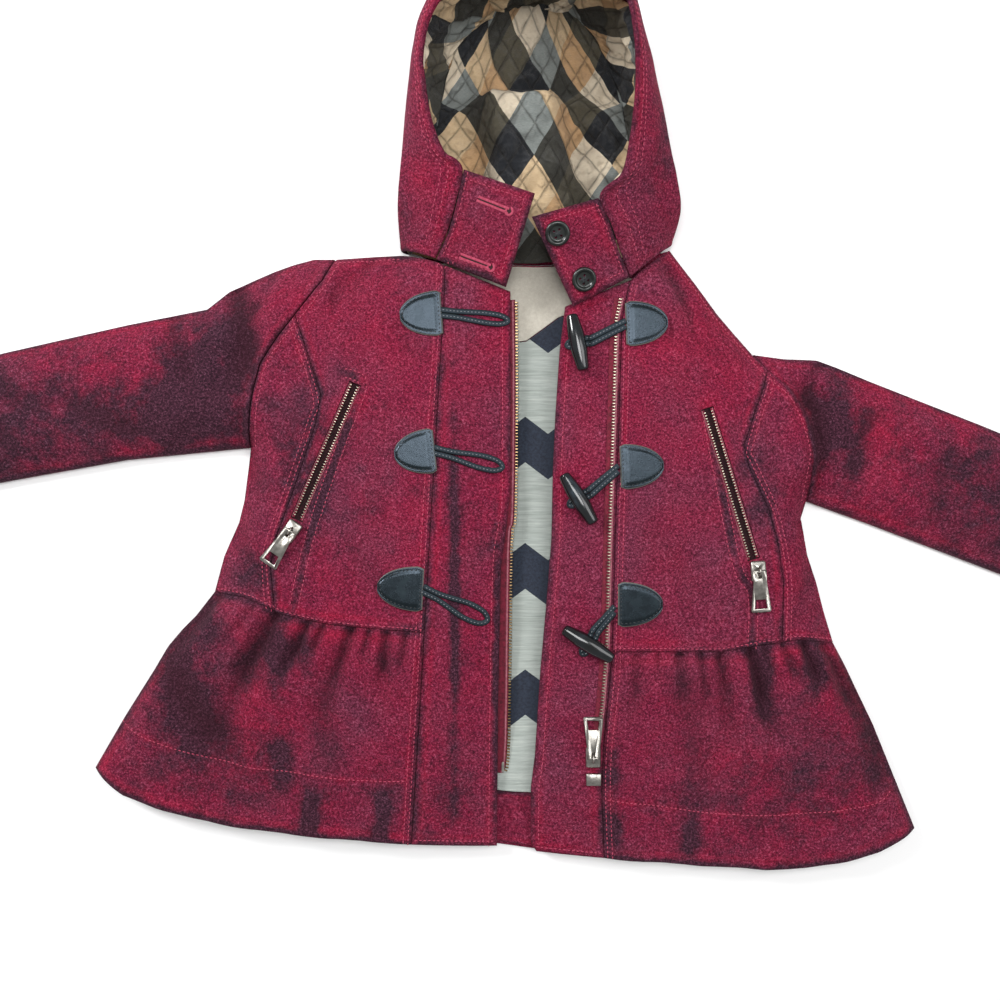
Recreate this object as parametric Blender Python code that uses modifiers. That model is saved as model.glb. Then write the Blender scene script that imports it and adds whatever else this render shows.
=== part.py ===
"""A toddler's hooded toggle coat with a gathered peplum, lying open on its back.

Sizes are in millimetres here and become metres at MM. X runs towards the wearer's left, Y up the
coat towards the hood, Z up from the table. The origin is under the back, on the centre line.
Names ending in _right and _left are the wearer's right (-X) and left (+X).
"""

import math
from bisect import bisect_right
from collections import namedtuple

import bmesh
import bpy
from mathutils import Matrix, Vector

MM = 0.001

# ---- cloth and trim thicknesses
WOOL = 3.0
DOUBLE_WOOL = 4.5      # button bands and chin tabs are two layers
LINING = 1.0
QUILTED_LINING = 2.5
LEATHER = 2.0
TAPE = 0.8
GAP = 0.3              # air between pieces that lie on each other
SEAM = 0.6             # the same between pieces sewn edge to edge

# ---- how high the front and the sleeves stand over the table
BACK_TOP = 2.8                      # the back lies flat
FOLD_TOP = BACK_TOP + GAP + WOOL    # front and back close together at a side or shoulder seam
FOLD_ROUNDING = 34.0                # the front has risen to its full height this far from there
OPENING_SHARE = 0.25                # of that height is lost again at the front edges
OPENING_SLOPE = 55.0
Level = namedtuple("Level", "y top")
FRONT_LEVELS = (Level(-265, 13.5), Level(-170, 17), Level(-90, 21), Level(20, 22), Level(190, 22))

# ---- plan of the wearer's right half, (x, y)
SHOULDER_RIGHT = ((-91, 182), (-112, 181), (-141, 179))
ARMHOLE_RIGHT_UPPER = ((-141, 179), (-148, 161), (-157, 149), (-168, 135))
ARMHOLE_RIGHT_LOWER = ((-168, 135), (-179, 121), (-194, 100), (-198, 82), (-203, 49), (-204, 39))
SIDE_RIGHT = ((-204, 39), (-206, 22), (-209, -1), (-213, -17), (-224, -42), (-231, -68))
PEPLUM_SIDE_RIGHT = ((-231, -68), (-245, -86), (-255, -96), (-266, -109), (-276, -126),
                     (-298, -161), (-320, -199))
HEM_RIGHT = ((-320, -199), (-296, -217), (-272, -226), (-244, -234), (-215, -240),
             (-187, -244), (-145, -249), (-102, -252), (-84, -254))
WAIST_RIGHT_SIDE = ((-231, -68), (-205, -71), (-183, -81))
WAIST_RIGHT_FRONT = ((-183, -81), (-176, -84), (-143, -91), (-100, -95), (-74, -97))
PRINCESS_RIGHT = ((-168, 135), (-149, 77), (-153, 55), (-168, 10), (-181, -25), (-186, -48),
                  (-183, -81))
NECK_RIGHT = ((-59, 171), (-66, 174), (-91, 182))
BAND_NECK_RIGHT = ((-11, 153), (-59, 171))
BAND_SEAM_RIGHT = ((-59, 171), (-59, 154), (-70, -29), (-74, -97), (-84, -254))
BAND_EDGE_RIGHT = ((-11, 153), (-11, 10), (-14, -20), (-18, -50), (-20, -147), (-21, -256))
BAND_HEM_RIGHT = ((-84, -254), (-21, -256))

# ---- plan of the wearer's left half, (x, y)
SHOULDER_LEFT = ((107.3, 185.9), (113, 178), (127, 160), (143, 138), (154, 125), (169, 108))
ARMHOLE_LEFT_UPPER = ((169, 108), (177, 95))
ARMHOLE_LEFT_LOWER = ((177, 95), (191, 81), (201, 68), (207, 51), (211, 36), (210, 22), (209, -1))
SIDE_LEFT = ((209, -1), (204, -17), (207, -25), (210, -42), (216, -60), (222, -83), (229, -106))
PEPLUM_SIDE_LEFT = ((229, -106), (238, -123), (247, -142), (259, -167), (290, -244))
HEM_LEFT = ((290, -244), (259, -260), (236, -266), (206, -271), (176, -272), (145, -270),
            (116, -268), (86, -266), (58, -264))
WAIST_LEFT_SIDE = ((229, -106), (200, -102), (187, -104))
WAIST_LEFT_FRONT = ((187, -104), (171, -106), (142, -111), (105, -111), (63, -111))
PRINCESS_LEFT = ((177, 95), (159, 40), (162, 25), (178, -9), (184, -31), (188, -60), (187, -104))
NECK_LEFT = ((76, 160), (85, 168), (95, 176), (107.3, 185.9))
BAND_NECK_LEFT = ((29, 142), (76, 160))
BAND_SEAM_LEFT = ((76, 160), (70, 131), (68, 64), (65, -29), (63, -111), (60, -150), (57, -180),
                  (56, -213), (58, -264))
BAND_EDGE_LEFT = ((29, 142), (25, 109), (22, 64), (20, 19), (19, -29), (16, -68), (11, -125),
                  (7, -189), (4, -213), (4, -253), (8, -260))
BAND_HEM_LEFT = ((8, -260), (58, -264))

# ---- sleeves: the two folded edges of each, from the body out to the cuff
SLEEVE_TOP_RIGHT = ((-141, 179), (-156, 179), (-171, 175), (-185, 170), (-219, 155), (-235, 142),
                    (-296, 130), (-380, 111), (-478, 88))
SLEEVE_UNDER_RIGHT = ((-204, 39), (-296, 30), (-380, 15), (-488, -6))
SLEEVE_TOP_LEFT = ((169, 108), (191, 105), (216, 104), (232, 98), (256, 88), (340, 55), (499, -11))
SLEEVE_UNDER_LEFT = ((209, -1), (256, -18), (340, -50), (465, -97))
SLEEVE_TOP_AT_CUFF = 20.0
SLEEVE_TOP_AT_BODY = {"right": 22.0, "left": 15.0}   # the left sleeve lies under the rolled armhole
SLEEVE_SETTLES = 120.0   # from the body to where a sleeve has its height at the cuff
ARMHOLE_GAP = 1.0

# ---- back neck, from the wearer's right to left
BACK_NECK = ((-91, 182), (-70, 178.5), (-30, 176), (8, 175), (50, 176.5), (85, 181), (107.3, 185.9))

# ---- soft folds pressed into the front and the sleeves: from, to, half width, height
Fold = namedtuple("Fold", "x1 y1 x2 y2 half height")
SOFT_FOLDS = (
    Fold(-125, 163, -137, 140, 6, -2.4),     # right shoulder
    Fold(-108, 172, -124, 146, 7, -2.0),
    Fold(-117, 168, -131, 143, 6, 1.4),
    Fold(-232, 143, -190, 92, 13, -3.4),     # across the right sleeve head
    Fold(-275, 122, -250, 60, 18, 2.0),
    Fold(-340, 100, -330, 40, 16, -1.8),
    Fold(-420, 85, -405, 20, 16, -1.6),
    Fold(95, 164, 106, 145, 6, 2.2),         # left shoulder
    Fold(103, 172, 99, 150, 5, -1.8),
    Fold(150, 108, 188, 72, 11, 2.6),        # rolled edge of the left armhole
    Fold(188, 72, 200, 22, 11, 2.6),
    Fold(214, 100, 199, 66, 8, -2.2),        # left sleeve head
    Fold(300, 62, 285, -20, 16, -1.8),
    Fold(400, 20, 388, -55, 16, 1.8),
    Fold(-185, 60, -205, -30, 14, 1.4),      # side panels
    Fold(196, 40, 200, -60, 12, 1.2),
)

# ---- gathers of the peplum: where each starts along the waist, and how high it puffs
Gather = namedtuple("Gather", "x height")
GATHERS_RIGHT = (Gather(-217, 2.6), Gather(-205, 3.0), Gather(-192, 3.6), Gather(-178, 3.0),
                 Gather(-165, 3.8), Gather(-152, 3.0), Gather(-141, 3.6), Gather(-128, 4.2),
                 Gather(-115, 3.0), Gather(-103, 3.4), Gather(-91, 2.6))
GATHERS_LEFT = (Gather(82, 2.4), Gather(98, 3.2), Gather(112, 3.0), Gather(127, 4.0),
                Gather(143, 3.6), Gather(159, 3.2), Gather(172, 3.8), Gather(184, 2.8),
                Gather(195, 3.2), Gather(208, 2.4))
GATHER_START = 0.09     # share of the peplum's length over which a gather swells below the seam
GATHER_REACH = 0.55     # and over which it has mostly opened out
GATHER_LEFT_AT_HEM = 0.16
HEM_WAVES = 4.5         # broad waves that reach the hem
HEM_WAVE_HEIGHT = 1.8

# ---- hood: profiles of its wall, from the right chin round the crown to the left chin.
# rim is the free edge, wide the point that shows furthest out, foot where the wall meets the table.
Profile = namedtuple("Profile", "rim_x rim_y rim_z wide_x wide_y wide_z foot_x foot_y")
HOOD_PROFILES = (
    Profile(-66, 174.8, 25, -92, 183.8, 9, -86, 183.6),
    Profile(-57, 191, 34, -93, 203, 20, -80, 204),
    Profile(-50.5, 209, 44, -92, 219, 29, -74, 222),
    Profile(-45, 231, 52, -90, 236, 35, -70, 240),
    Profile(-57, 239, 57, -88, 251, 39, -68, 256),
    Profile(-66, 258, 66, -86, 269, 43, -66, 274),
    Profile(-70.5, 281, 75, -83, 292, 48, -62, 297),
    Profile(-72, 296, 80, -80, 311, 52, -58, 316),
    Profile(-68, 315, 86, -75, 330, 57, -52, 334),
    Profile(-60, 329, 90, -65, 348, 62, -42, 350),
    Profile(-44, 345, 94, -47, 365, 66, -28, 362),
    Profile(-19, 355, 97, -21, 378, 70, -10, 369),
    Profile(4, 357, 98, 5, 381, 71, 5, 370),
    Profile(27, 355, 97, 30, 378, 70, 20, 369),
    Profile(52, 345, 94, 56, 365, 66, 38, 361),
    Profile(67, 329, 90, 72, 348, 62, 51, 349),
    Profile(72, 308, 86, 80, 327, 57, 59, 333),
    Profile(73.5, 293, 80, 87, 309, 52, 66, 315),
    Profile(73.5, 272, 75, 92, 290, 48, 71, 295),
    Profile(70, 242, 66, 99, 264, 43, 77, 269),
    Profile(64.5, 222, 60, 104, 246, 39, 82, 251),
    Profile(51, 211, 52, 108, 230, 35, 85, 236),
    Profile(60, 194, 45, 111, 215, 29, 89, 220),
    Profile(67, 178.5, 36, 112, 203, 20, 96, 207),
    Profile(76, 161.4, 27, 108.5, 188.4, 9, 104, 187.4),
)
HOOD_WALL_BULGE = 5.0        # outward swell between rim and widest point
HOOD_MIDDLE = Vector((8, 268, 45))
HOOD_NECK_GAP = 0.6
HOOD_FLOOR_GAP = 2.0         # between the flat back of the hood and the foot of its wall
HOOD_ROWS = 7
HOOD_LINING_GAP = 1.0
CENTRE_FIRST, CENTRE_LAST = 10.5, 13.5   # the centre gusset crosses the crown between these profiles
NAPE_FOLD_HEIGHT = 27.0      # the back lining stands up in a fold inside the nape
NAPE_FOLD_CREST = 289.0
NAPE_FOLD_END = 313.0
NAPE_FOLD_HALF = 34.0
NAPE_FOLD_X = -3.0
FACING_AT_CHIN, FACING_AT_CROWN = 0.10, 0.26   # share of rim to widest point left bare inside

# ---- chin tabs: bottom and top corners of the free end, and the height of the free end
Corner = namedtuple("Corner", "x y z")
TAB_SEAM = 0.9          # the tabs stand this clear of the hood's front edges
TAB_RIGHT_END = (Corner(-14.4, 153.8, 29), Corner(5.7, 214.5, 51))
TAB_LEFT_END = (Corner(34.3, 140.4, 26), Corner(3.7, 199.6, 46))
BUTTONS = ((21.9, 188.5), (41.3, 158.7))
BUTTON_RADIUS = 8.8
BUTTON_HOLE_RADIUS = 1.0
BUTTON_HOLE_OFFSET = 2.0
BUTTON_LIFT = 0.7

# ---- leather: D-shaped patches, (x, y) of the straight edge's middle and which way the nose points
PATCH_WIDTH = 33.0
Patch = namedtuple("Patch", "x y length turn")
PATCHES = {
    "right_1": Patch(-61.0, 136, 31, 180 + 4),
    "right_2": Patch(-66.0, 36, 30, 180 + 6),
    "right_3": Patch(-74.5, -65, 34, 180 - 3),
    "left_1": Patch(72.5, 128, 31, 2),
    "left_2": Patch(68.5, 24, 32, 2),
    "left_3": Patch(67.0, -76, 33, 0),
}
STRAP_RADIUS = 1.7
STRAP_START = 0.5       # a doubled strap is drawn from this far outside the patch that holds it
STRAP_HALF = 3.8        # half its width there
Loop = namedtuple("Loop", "far_x far_y spread")
LOOPS = {
    "right_1": Loop(-13, 131, 5.0),
    "right_2": Loop(-17, 24, 9.0),
    "right_3": Loop(-28, -88, 11.0),
}

# ---- toggles: middle of each, its heading in the plan and how far its lower end is dipped
TOGGLE_LENGTH = 42.0
TOGGLE_RADIUS = 6.0
TOGGLE_GROOVE = 4.4
TOGGLE_END = 4.0
TOGGLE_GROOVE_HALF = 4.4
TOGGLE_LIFT = 6.5
CORD_LIFT = 1.5      # clears the zip tape that the cord crosses
Toggle = namedtuple("Toggle", "x y turn")
TOGGLES = {
    "left_1": Toggle(38.5, 114, -78),
    "left_2": Toggle(39.0, 1, -58),
    "left_3": Toggle(45.5, -104, -31),
}

# ---- main zip
ZIP_RIGHT_EDGE = ((-7.5, 148), (-7, 74), (-8, -11), (-11, -35), (-13, -178), (-16, -203))
ZIP_RIGHT_WIDTH = 12.0
ZIP_RIGHT_DROP = 1.0     # below the band it is sewn under
ZIP_LEFT_WIDTH = 7.0
ZIP_LEFT_END = -178.0
MAIN_SLIDER = (49.5, -188.0)
MAIN_PULL_TURN = 90.0
ZIP_BOX = (49.8, -204.5)
ZIP_BOX_SIZE = (11.0, 9.0, 3.2)

# ---- pocket zips: upper and lower end of each slit, and the way each pull lies
POCKET_SLIT = 9.6
POCKET_TAPE = 2.2
Pocket = namedtuple("Pocket", "top bottom pull_turn")
POCKETS = {
    "right": Pocket((-124, 85), (-167, -14.5), 235.0),
    "left": Pocket((132, 67), (166.2, -43.5), 274.0),
}
POCKET_TAPE_DEPTH = 1.4      # tapes lie this far below the face of the wool
POCKET_SLIDER_PAST = 8.5     # middle of the slider, past the end of the slit
POCKET_BAG_MARGIN = 16.0

# ---- zip sliders and their pull tabs
SLIDER_LENGTH, SLIDER_WIDTH, SLIDER_HEIGHT = 15.0, 11.0, 3.6
BAIL_RADIUS = 2.8           # of the bail's arch about the hinge line
BAIL_WIRE = 0.7
HINGE_OVER_SLIDER = 2.0
PULL_LENGTH = 31.0
PULL_NECK, PULL_TIP = 9.5, 14.5
PULL_THICK = 1.5
PULL_BAR = 0.8              # half width of the bar that turns inside the bail
PULL_SLOT_END = 5.0
PULL_SLOT_HALF = 1.3
PULL_WINDOW = (20.5, 27.5)
PULL_WINDOW_HALF = 4.2
PULL_DIP = 6.5              # degrees that a pull leans down onto the cloth
SLIDER_LIFT = 0.5

# ---- inside of the back, seen through the open front, (x, y)
LINING_MARGIN = 12.0     # from the folded sides of the coat
LINING_HEM = ((-245, -160), (-150, -205), (-20, -216), (5, -218), (110, -225), (225, -190))
YOKE_SEAM = ((-150, 100), (1, 118), (27, 137), (140, 105))
YOKE_LEFT_END = ((132, 133), (106, 170))
YOKE_RIGHT_END = ((-90, 172), (-133, 165))
YOKE_MARGIN = 1.5        # below the back neck seam
FACING_THICK = 1.6
FACING_HEM = ((220, -262), (176, -268), (58, -260), (8, -258), (-21, -254), (-84, -250),
              (-187, -240), (-250, -226))
PRINCESS_ROWS = 16       # both panels beside a princess seam are divided alike


def rise(share):
    """0 at a folded edge, 1 and level from a full width inwards."""
    share = min(max(share, 0.0), 1.0)
    return 1.0 - (1.0 - share) ** 2


def smooth(share):
    share = min(max(share, 0.0), 1.0)
    return share * share * (3.0 - 2.0 * share)


def mix(a, b, share):
    return a + (b - a) * share


def read(rows, key):
    """Linear value of a two-column table, held level past its ends."""
    rows = sorted(rows)
    keys = [row[0] for row in rows]
    if key <= keys[0]:
        return rows[0][1]
    if key >= keys[-1]:
        return rows[-1][1]
    i = bisect_right(keys, key) - 1
    return mix(rows[i][1], rows[i + 1][1], (key - keys[i]) / (keys[i + 1] - keys[i]))


def x_on(line, y):
    """Where a line that runs down the coat crosses a level."""
    return read([(point[1], point[0]) for point in line], y)


def along(line, count):
    """Points at equal steps along a line, with the nearest one pulled onto each sharp corner."""
    points = [Vector(point) for point in line]
    lengths = [0.0]
    for a, b in zip(points, points[1:]):
        lengths.append(lengths[-1] + (b - a).length)
    result = []
    for step in range(count + 1):
        target = lengths[-1] * step / count
        i = min(bisect_right(lengths, target) - 1, len(points) - 2)
        result.append(points[i].lerp(points[i + 1], (target - lengths[i]) / (lengths[i + 1] - lengths[i])))
    for i in range(1, len(points) - 1):
        if (points[i] - points[i - 1]).angle(points[i + 1] - points[i]) > math.radians(28):
            step = round(lengths[i] / lengths[-1] * count)
            if 0 < step < count:
                result[step] = points[i].copy()
    return result


def shifted(line, x=0.0, y=0.0):
    return [(point[0] + x, point[1] + y) + tuple(point[2:]) for point in line]


def chain(*lines):
    """Lines that follow on from each other, as one."""
    result = list(lines[0])
    for line in lines[1:]:
        result += list(line)[1:]
    return result


def distance_to(lines, x, y):
    best = 1e9
    for line in lines:
        for (x1, y1), (x2, y2) in zip(line, line[1:]):
            dx, dy = x2 - x1, y2 - y1
            t = ((x - x1) * dx + (y - y1) * dy) / (dx * dx + dy * dy)
            t = min(max(t, 0.0), 1.0)
            best = min(best, math.hypot(x - x1 - t * dx, y - y1 - t * dy))
    return best


BODY_FOLDS = (SHOULDER_RIGHT, SIDE_RIGHT, PEPLUM_SIDE_RIGHT, SHOULDER_LEFT, SIDE_LEFT, PEPLUM_SIDE_LEFT)
SLEEVE_FOLDS = {
    "right": (SLEEVE_TOP_RIGHT, SLEEVE_UNDER_RIGHT),
    "left": (SLEEVE_TOP_LEFT, SLEEVE_UNDER_LEFT),
}


def soft_folds(x, y):
    """Height that the pressed-in folds add at a point."""
    total = 0.0
    for fold in SOFT_FOLDS:
        dx, dy = fold.x2 - fold.x1, fold.y2 - fold.y1
        length = math.hypot(dx, dy)
        t = ((x - fold.x1) * dx + (y - fold.y1) * dy) / (length * length)
        if -0.35 < t < 1.35:
            across = abs((x - fold.x1) * dy - (y - fold.y1) * dx) / length
            fade = smooth((t + 0.35) / 0.45) * smooth((1.35 - t) / 0.45)
            total += fold.height * fade * math.exp(-((across / fold.half) ** 2))
    return total


def front_top(x, y):
    """Height of the upper face of the coat's front over the table."""
    closed = rise(distance_to(BODY_FOLDS, x, y) / FOLD_ROUNDING)
    level = read(FRONT_LEVELS, y)
    if x < 0:
        inset = x_on(BAND_EDGE_RIGHT, y) - x
    else:
        inset = x - x_on(BAND_EDGE_LEFT, y)
    opening = OPENING_SHARE * level * (1.0 - rise(inset / OPENING_SLOPE))
    return FOLD_TOP + (level - opening - FOLD_TOP) * closed + soft_folds(x, y) * closed


def sleeve_top(side, x, y):
    """Height of the upper face of a sleeve over the table."""
    closed = rise(distance_to(SLEEVE_FOLDS[side], x, y) / FOLD_ROUNDING)
    body_end = SLEEVE_TOP_RIGHT[0] if side == "right" else SLEEVE_TOP_LEFT[0]
    out = min(abs(x - body_end[0]) / 120.0, 1.0)
    level = mix(SLEEVE_TOP_AT_BODY[side], SLEEVE_TOP_AT_CUFF, smooth(out))
    return FOLD_TOP + (level - FOLD_TOP) * closed + soft_folds(x, y) * closed


# ---- materials

def material(name, colour, roughness, metallic=0.0):
    made = bpy.data.materials.new(name)
    made.use_nodes = True
    shader = made.node_tree.nodes["Principled BSDF"]
    shader.inputs["Base Color"].default_value = (*colour, 1.0)
    shader.inputs["Roughness"].default_value = roughness
    shader.inputs["Metallic"].default_value = metallic
    made.diffuse_color = (*colour, 1.0)
    return made


# ---- mesh tools

def add_object(name, mesh, finish, matrix=None):
    made = bpy.data.objects.new(name, mesh)
    coat.objects.link(made)
    mesh.materials.clear()
    mesh.materials.append(finish)
    if matrix is not None:
        made.matrix_world = matrix
    return made


def wall(name, columns, rows, outer, inner, finish):
    """A closed sheet: outer(u, v) and inner(u, v) give its two faces in millimetres."""
    shape = bmesh.new()
    bmesh.ops.create_grid(shape, x_segments=columns, y_segments=rows, size=0.5)
    front = list(shape.verts)
    made = bmesh.ops.extrude_face_region(shape, geom=shape.faces[:])
    back = [item for item in made["geom"] if isinstance(item, bmesh.types.BMVert)]
    for verts, face in ((front, outer), (back, inner)):
        for vert in verts:
            vert.co = Vector(face(vert.co.x + 0.5, vert.co.y + 0.5)) * MM
    bmesh.ops.recalc_face_normals(shape, faces=shape.faces)
    mesh = bpy.data.meshes.new(name)
    shape.to_mesh(mesh)
    shape.free()
    return add_object(name, mesh, finish)


def read_along(points, share):
    """Point at a share of the way through evenly spaced points."""
    place = min(max(share, 0.0), 1.0) * (len(points) - 1)
    i = min(int(place), len(points) - 2)
    return points[i].lerp(points[i + 1], place - i)


def coons(side, centre, bottom, top, columns, rows, inset=SEAM / 2):
    """A surface through four edge lines, drawn in a little from each for the seams.

    The side and centre lines run up the coat, the bottom and top lines from side to centre.
    """
    side, centre = along(side, rows), along(centre, rows)
    bottom, top = along(bottom, columns), along(top, columns)

    def whole(u, v):
        across = read_along(side, v).lerp(read_along(centre, v), u)
        up = read_along(bottom, u).lerp(read_along(top, u), v)
        corners = side[0].lerp(centre[0], u).lerp(side[-1].lerp(centre[-1], u), v)
        return across + up - corners

    def at(u, v):
        width = whole(1, v) - whole(0, v)
        height = whole(u, 1) - whole(u, 0)
        drawn = width.normalized() * (1 - 2 * u) + height.normalized() * (1 - 2 * v)
        return whole(u, v) + drawn * inset

    return at


def cloth(name, side, centre, bottom, top, columns, rows, height, finish, thick=WOOL, extra=None,
          inset=SEAM / 2):
    """A panel cut to four seam lines and draped on height(x, y), with a wall of even depth."""
    plan = coons(side, centre, bottom, top, columns, rows, inset)

    def outer(u, v):
        point = plan(u, v)
        more = extra(u, v) if extra else 0.0
        return point.x, point.y, height(point.x, point.y) + more

    def inner(u, v):
        x, y, z = outer(u, v)
        return x, y, z - thick

    return wall(name, columns, rows, outer, inner, finish)


def plate(name, outline, bottom, top, finish):
    """A flat piece: an outline filled and given depth."""
    curve = bpy.data.curves.new(name, "CURVE")
    curve.dimensions = "2D"
    curve.fill_mode = "BOTH"
    curve.extrude = (top - bottom) / 2 * MM
    spline = curve.splines.new("POLY")
    spline.points.add(len(outline) - 1)
    for point, (x, y) in zip(spline.points, outline):
        point.co = (x * MM, y * MM, 0.0, 1.0)
    spline.use_cyclic_u = True
    curve.materials.append(finish)
    made = bpy.data.objects.new(name, curve)
    coat.objects.link(made)
    made.location.z = (bottom + top) / 2 * MM
    return made


def tube(name, points, radius, finish):
    """A round cord or strap through points in millimetres."""
    curve = bpy.data.curves.new(name, "CURVE")
    curve.dimensions = "3D"
    curve.bevel_depth = radius * MM
    curve.bevel_resolution = 1
    curve.use_fill_caps = True
    spline = curve.splines.new("POLY")
    spline.points.add(len(points) - 1)
    for point, place in zip(spline.points, points):
        point.co = (*(Vector(place) * MM), 1.0)
    curve.materials.append(finish)
    made = bpy.data.objects.new(name, curve)
    coat.objects.link(made)
    return made


def as_mesh(curve_object):
    """The same piece as a closed mesh, so that it can be cut or joined."""
    graph = bpy.context.evaluated_depsgraph_get()
    mesh = bpy.data.meshes.new_from_object(curve_object.evaluated_get(graph))
    shape = bmesh.new()
    shape.from_mesh(mesh)
    bmesh.ops.remove_doubles(shape, verts=shape.verts, dist=1e-6)
    bmesh.ops.recalc_face_normals(shape, faces=shape.faces)
    shape.to_mesh(mesh)
    shape.free()
    name, finish = curve_object.name, curve_object.data.materials[0]
    place = curve_object.matrix_world.copy()
    bpy.data.objects.remove(curve_object)
    return add_object(name, mesh, finish, place)


def make_tool(made):
    """Keeps a cutter or a joined piece out of the coat itself."""
    for home in made.users_collection:
        home.objects.unlink(made)
    tools.objects.link(made)
    made.hide_render = True
    made.display_type = "WIRE"
    return made


def boolean(target, tool, operation):
    step = target.modifiers.new(operation.lower(), "BOOLEAN")
    step.operation = operation
    step.solver = "EXACT"
    step.object = make_tool(tool)


def frame_on(height, x, y, turn, lift):
    """Matrix of a piece that lies on a height field: its X heads along turn, its Z off the cloth."""
    step = 4.0
    slope_x = (height(x + step, y) - height(x - step, y)) / (2 * step)
    slope_y = (height(x, y + step) - height(x, y - step)) / (2 * step)
    up = Vector((-slope_x, -slope_y, 1.0)).normalized()
    heading = Vector((math.cos(math.radians(turn)), math.sin(math.radians(turn)), 0.0))
    ahead = (heading - up * heading.dot(up)).normalized()
    aside = up.cross(ahead)
    place = (Vector((x, y, height(x, y))) + up * lift) * MM
    return Matrix.Translation(place) @ Matrix((ahead, aside, up)).transposed().to_4x4()


# ---- body

def half_plan(side):
    """Every seam line of one half, by name."""
    right = dict(
        shoulder=SHOULDER_RIGHT, upper=ARMHOLE_RIGHT_UPPER, lower=ARMHOLE_RIGHT_LOWER,
        seam=SIDE_RIGHT, peplum=PEPLUM_SIDE_RIGHT, hem=HEM_RIGHT, waist_side=WAIST_RIGHT_SIDE,
        waist_front=WAIST_RIGHT_FRONT, princess=PRINCESS_RIGHT, neck=NECK_RIGHT,
        band_neck=BAND_NECK_RIGHT, band_seam=BAND_SEAM_RIGHT, band_edge=BAND_EDGE_RIGHT,
        band_hem=BAND_HEM_RIGHT, gathers=GATHERS_RIGHT,
    )
    left = dict(
        shoulder=SHOULDER_LEFT, upper=ARMHOLE_LEFT_UPPER, lower=ARMHOLE_LEFT_LOWER,
        seam=SIDE_LEFT, peplum=PEPLUM_SIDE_LEFT, hem=HEM_LEFT, waist_side=WAIST_LEFT_SIDE,
        waist_front=WAIST_LEFT_FRONT, princess=PRINCESS_LEFT, neck=NECK_LEFT,
        band_neck=BAND_NECK_LEFT, band_seam=BAND_SEAM_LEFT, band_edge=BAND_EDGE_LEFT,
        band_hem=BAND_HEM_LEFT[::-1], gathers=GATHERS_LEFT,
    )
    return right if side == "right" else left


def make_back():
    right, left = half_plan("right"), half_plan("left")
    outline = chain(right["shoulder"], right["upper"], right["lower"], right["seam"])
    outline += chain(left["shoulder"], left["upper"], left["lower"], left["seam"])[::-1]
    outline += list(BACK_NECK[1:-1])[::-1]
    plate("back_body", outline, 0.0, BACK_TOP, WOOL_FINISH)
    outline = chain(right["peplum"], right["hem"], right["band_hem"])
    outline += chain(left["peplum"], left["hem"], left["band_hem"])[::-1]
    plate("back_peplum", shifted(outline, y=-SEAM), 0.0, BACK_TOP, WOOL_FINISH)


def drawn_in(line, amount):
    """Points of an outline pulled towards the middle of the coat."""
    middle = Vector((0.0, -40.0))
    result = []
    for point in line:
        away = Vector(point) - middle
        result.append(tuple(middle + away * (1.0 - amount / away.length)))
    return result


def make_lining():
    """Body lining, its plain yoke at the neck, and the wool facing along the hem."""
    bottom, top = BACK_TOP + GAP, BACK_TOP + GAP + LINING
    sides = {}
    for side in ("right", "left"):
        lines = half_plan(side)
        edge = chain(lines["lower"][2:], lines["seam"], lines["peplum"][:-2])
        sides[side] = drawn_in(edge, LINING_MARGIN)
    body = sides["right"] + list(LINING_HEM) + sides["left"][::-1] + list(YOKE_SEAM)[::-1]
    plate("back_lining", body, bottom, top, LINING_FINISH)
    neck = shifted(BACK_NECK[1:-1], y=-YOKE_MARGIN)
    yoke = shifted(YOKE_SEAM, y=SEAM) + list(YOKE_LEFT_END) + neck[::-1] + list(YOKE_RIGHT_END)
    plate("neck_yoke", yoke, bottom, top, YOKE_FINISH)
    facing = shifted(LINING_HEM, y=-SEAM) + list(FACING_HEM)
    plate("back_hem_facing", facing, bottom, bottom + FACING_THICK, WOOL_FINISH)


def gather_height(gathers, waist, u, v):
    """Puffs that hang from the waist seam: v is 1 there and 0 at the hem."""
    start, span = waist[0][0], waist[-1][0] - waist[0][0]
    puffs = sorted(((gather.x - start) / span, gather.height) for gather in gathers)
    down = 1.0 - v
    swell = smooth(down / GATHER_START) * mix(1.0, GATHER_LEFT_AT_HEM, smooth(down / GATHER_REACH))
    before = [puff for puff in puffs if puff[0] <= u]
    after = [puff for puff in puffs if puff[0] > u]
    if before and after:
        (u1, height1), (u2, height2) = before[-1], after[0]
        phase = (u - u1) / (u2 - u1)
        height = mix(height1, height2, phase)
    elif after:
        phase, height = 1.0 - u / after[0][0], after[0][1]
    else:
        phase, height = (u - before[-1][0]) / (1.0 - before[-1][0]), before[-1][1]
    puff = height * swell * (0.5 + 0.5 * math.cos(2 * math.pi * phase))
    wave = HEM_WAVE_HEIGHT * smooth(down / 0.5) * math.sin(2 * math.pi * HEM_WAVES * u + 0.7)
    return (puff + wave) * rise(min(u, 1.0 - u) / 0.08)


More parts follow.
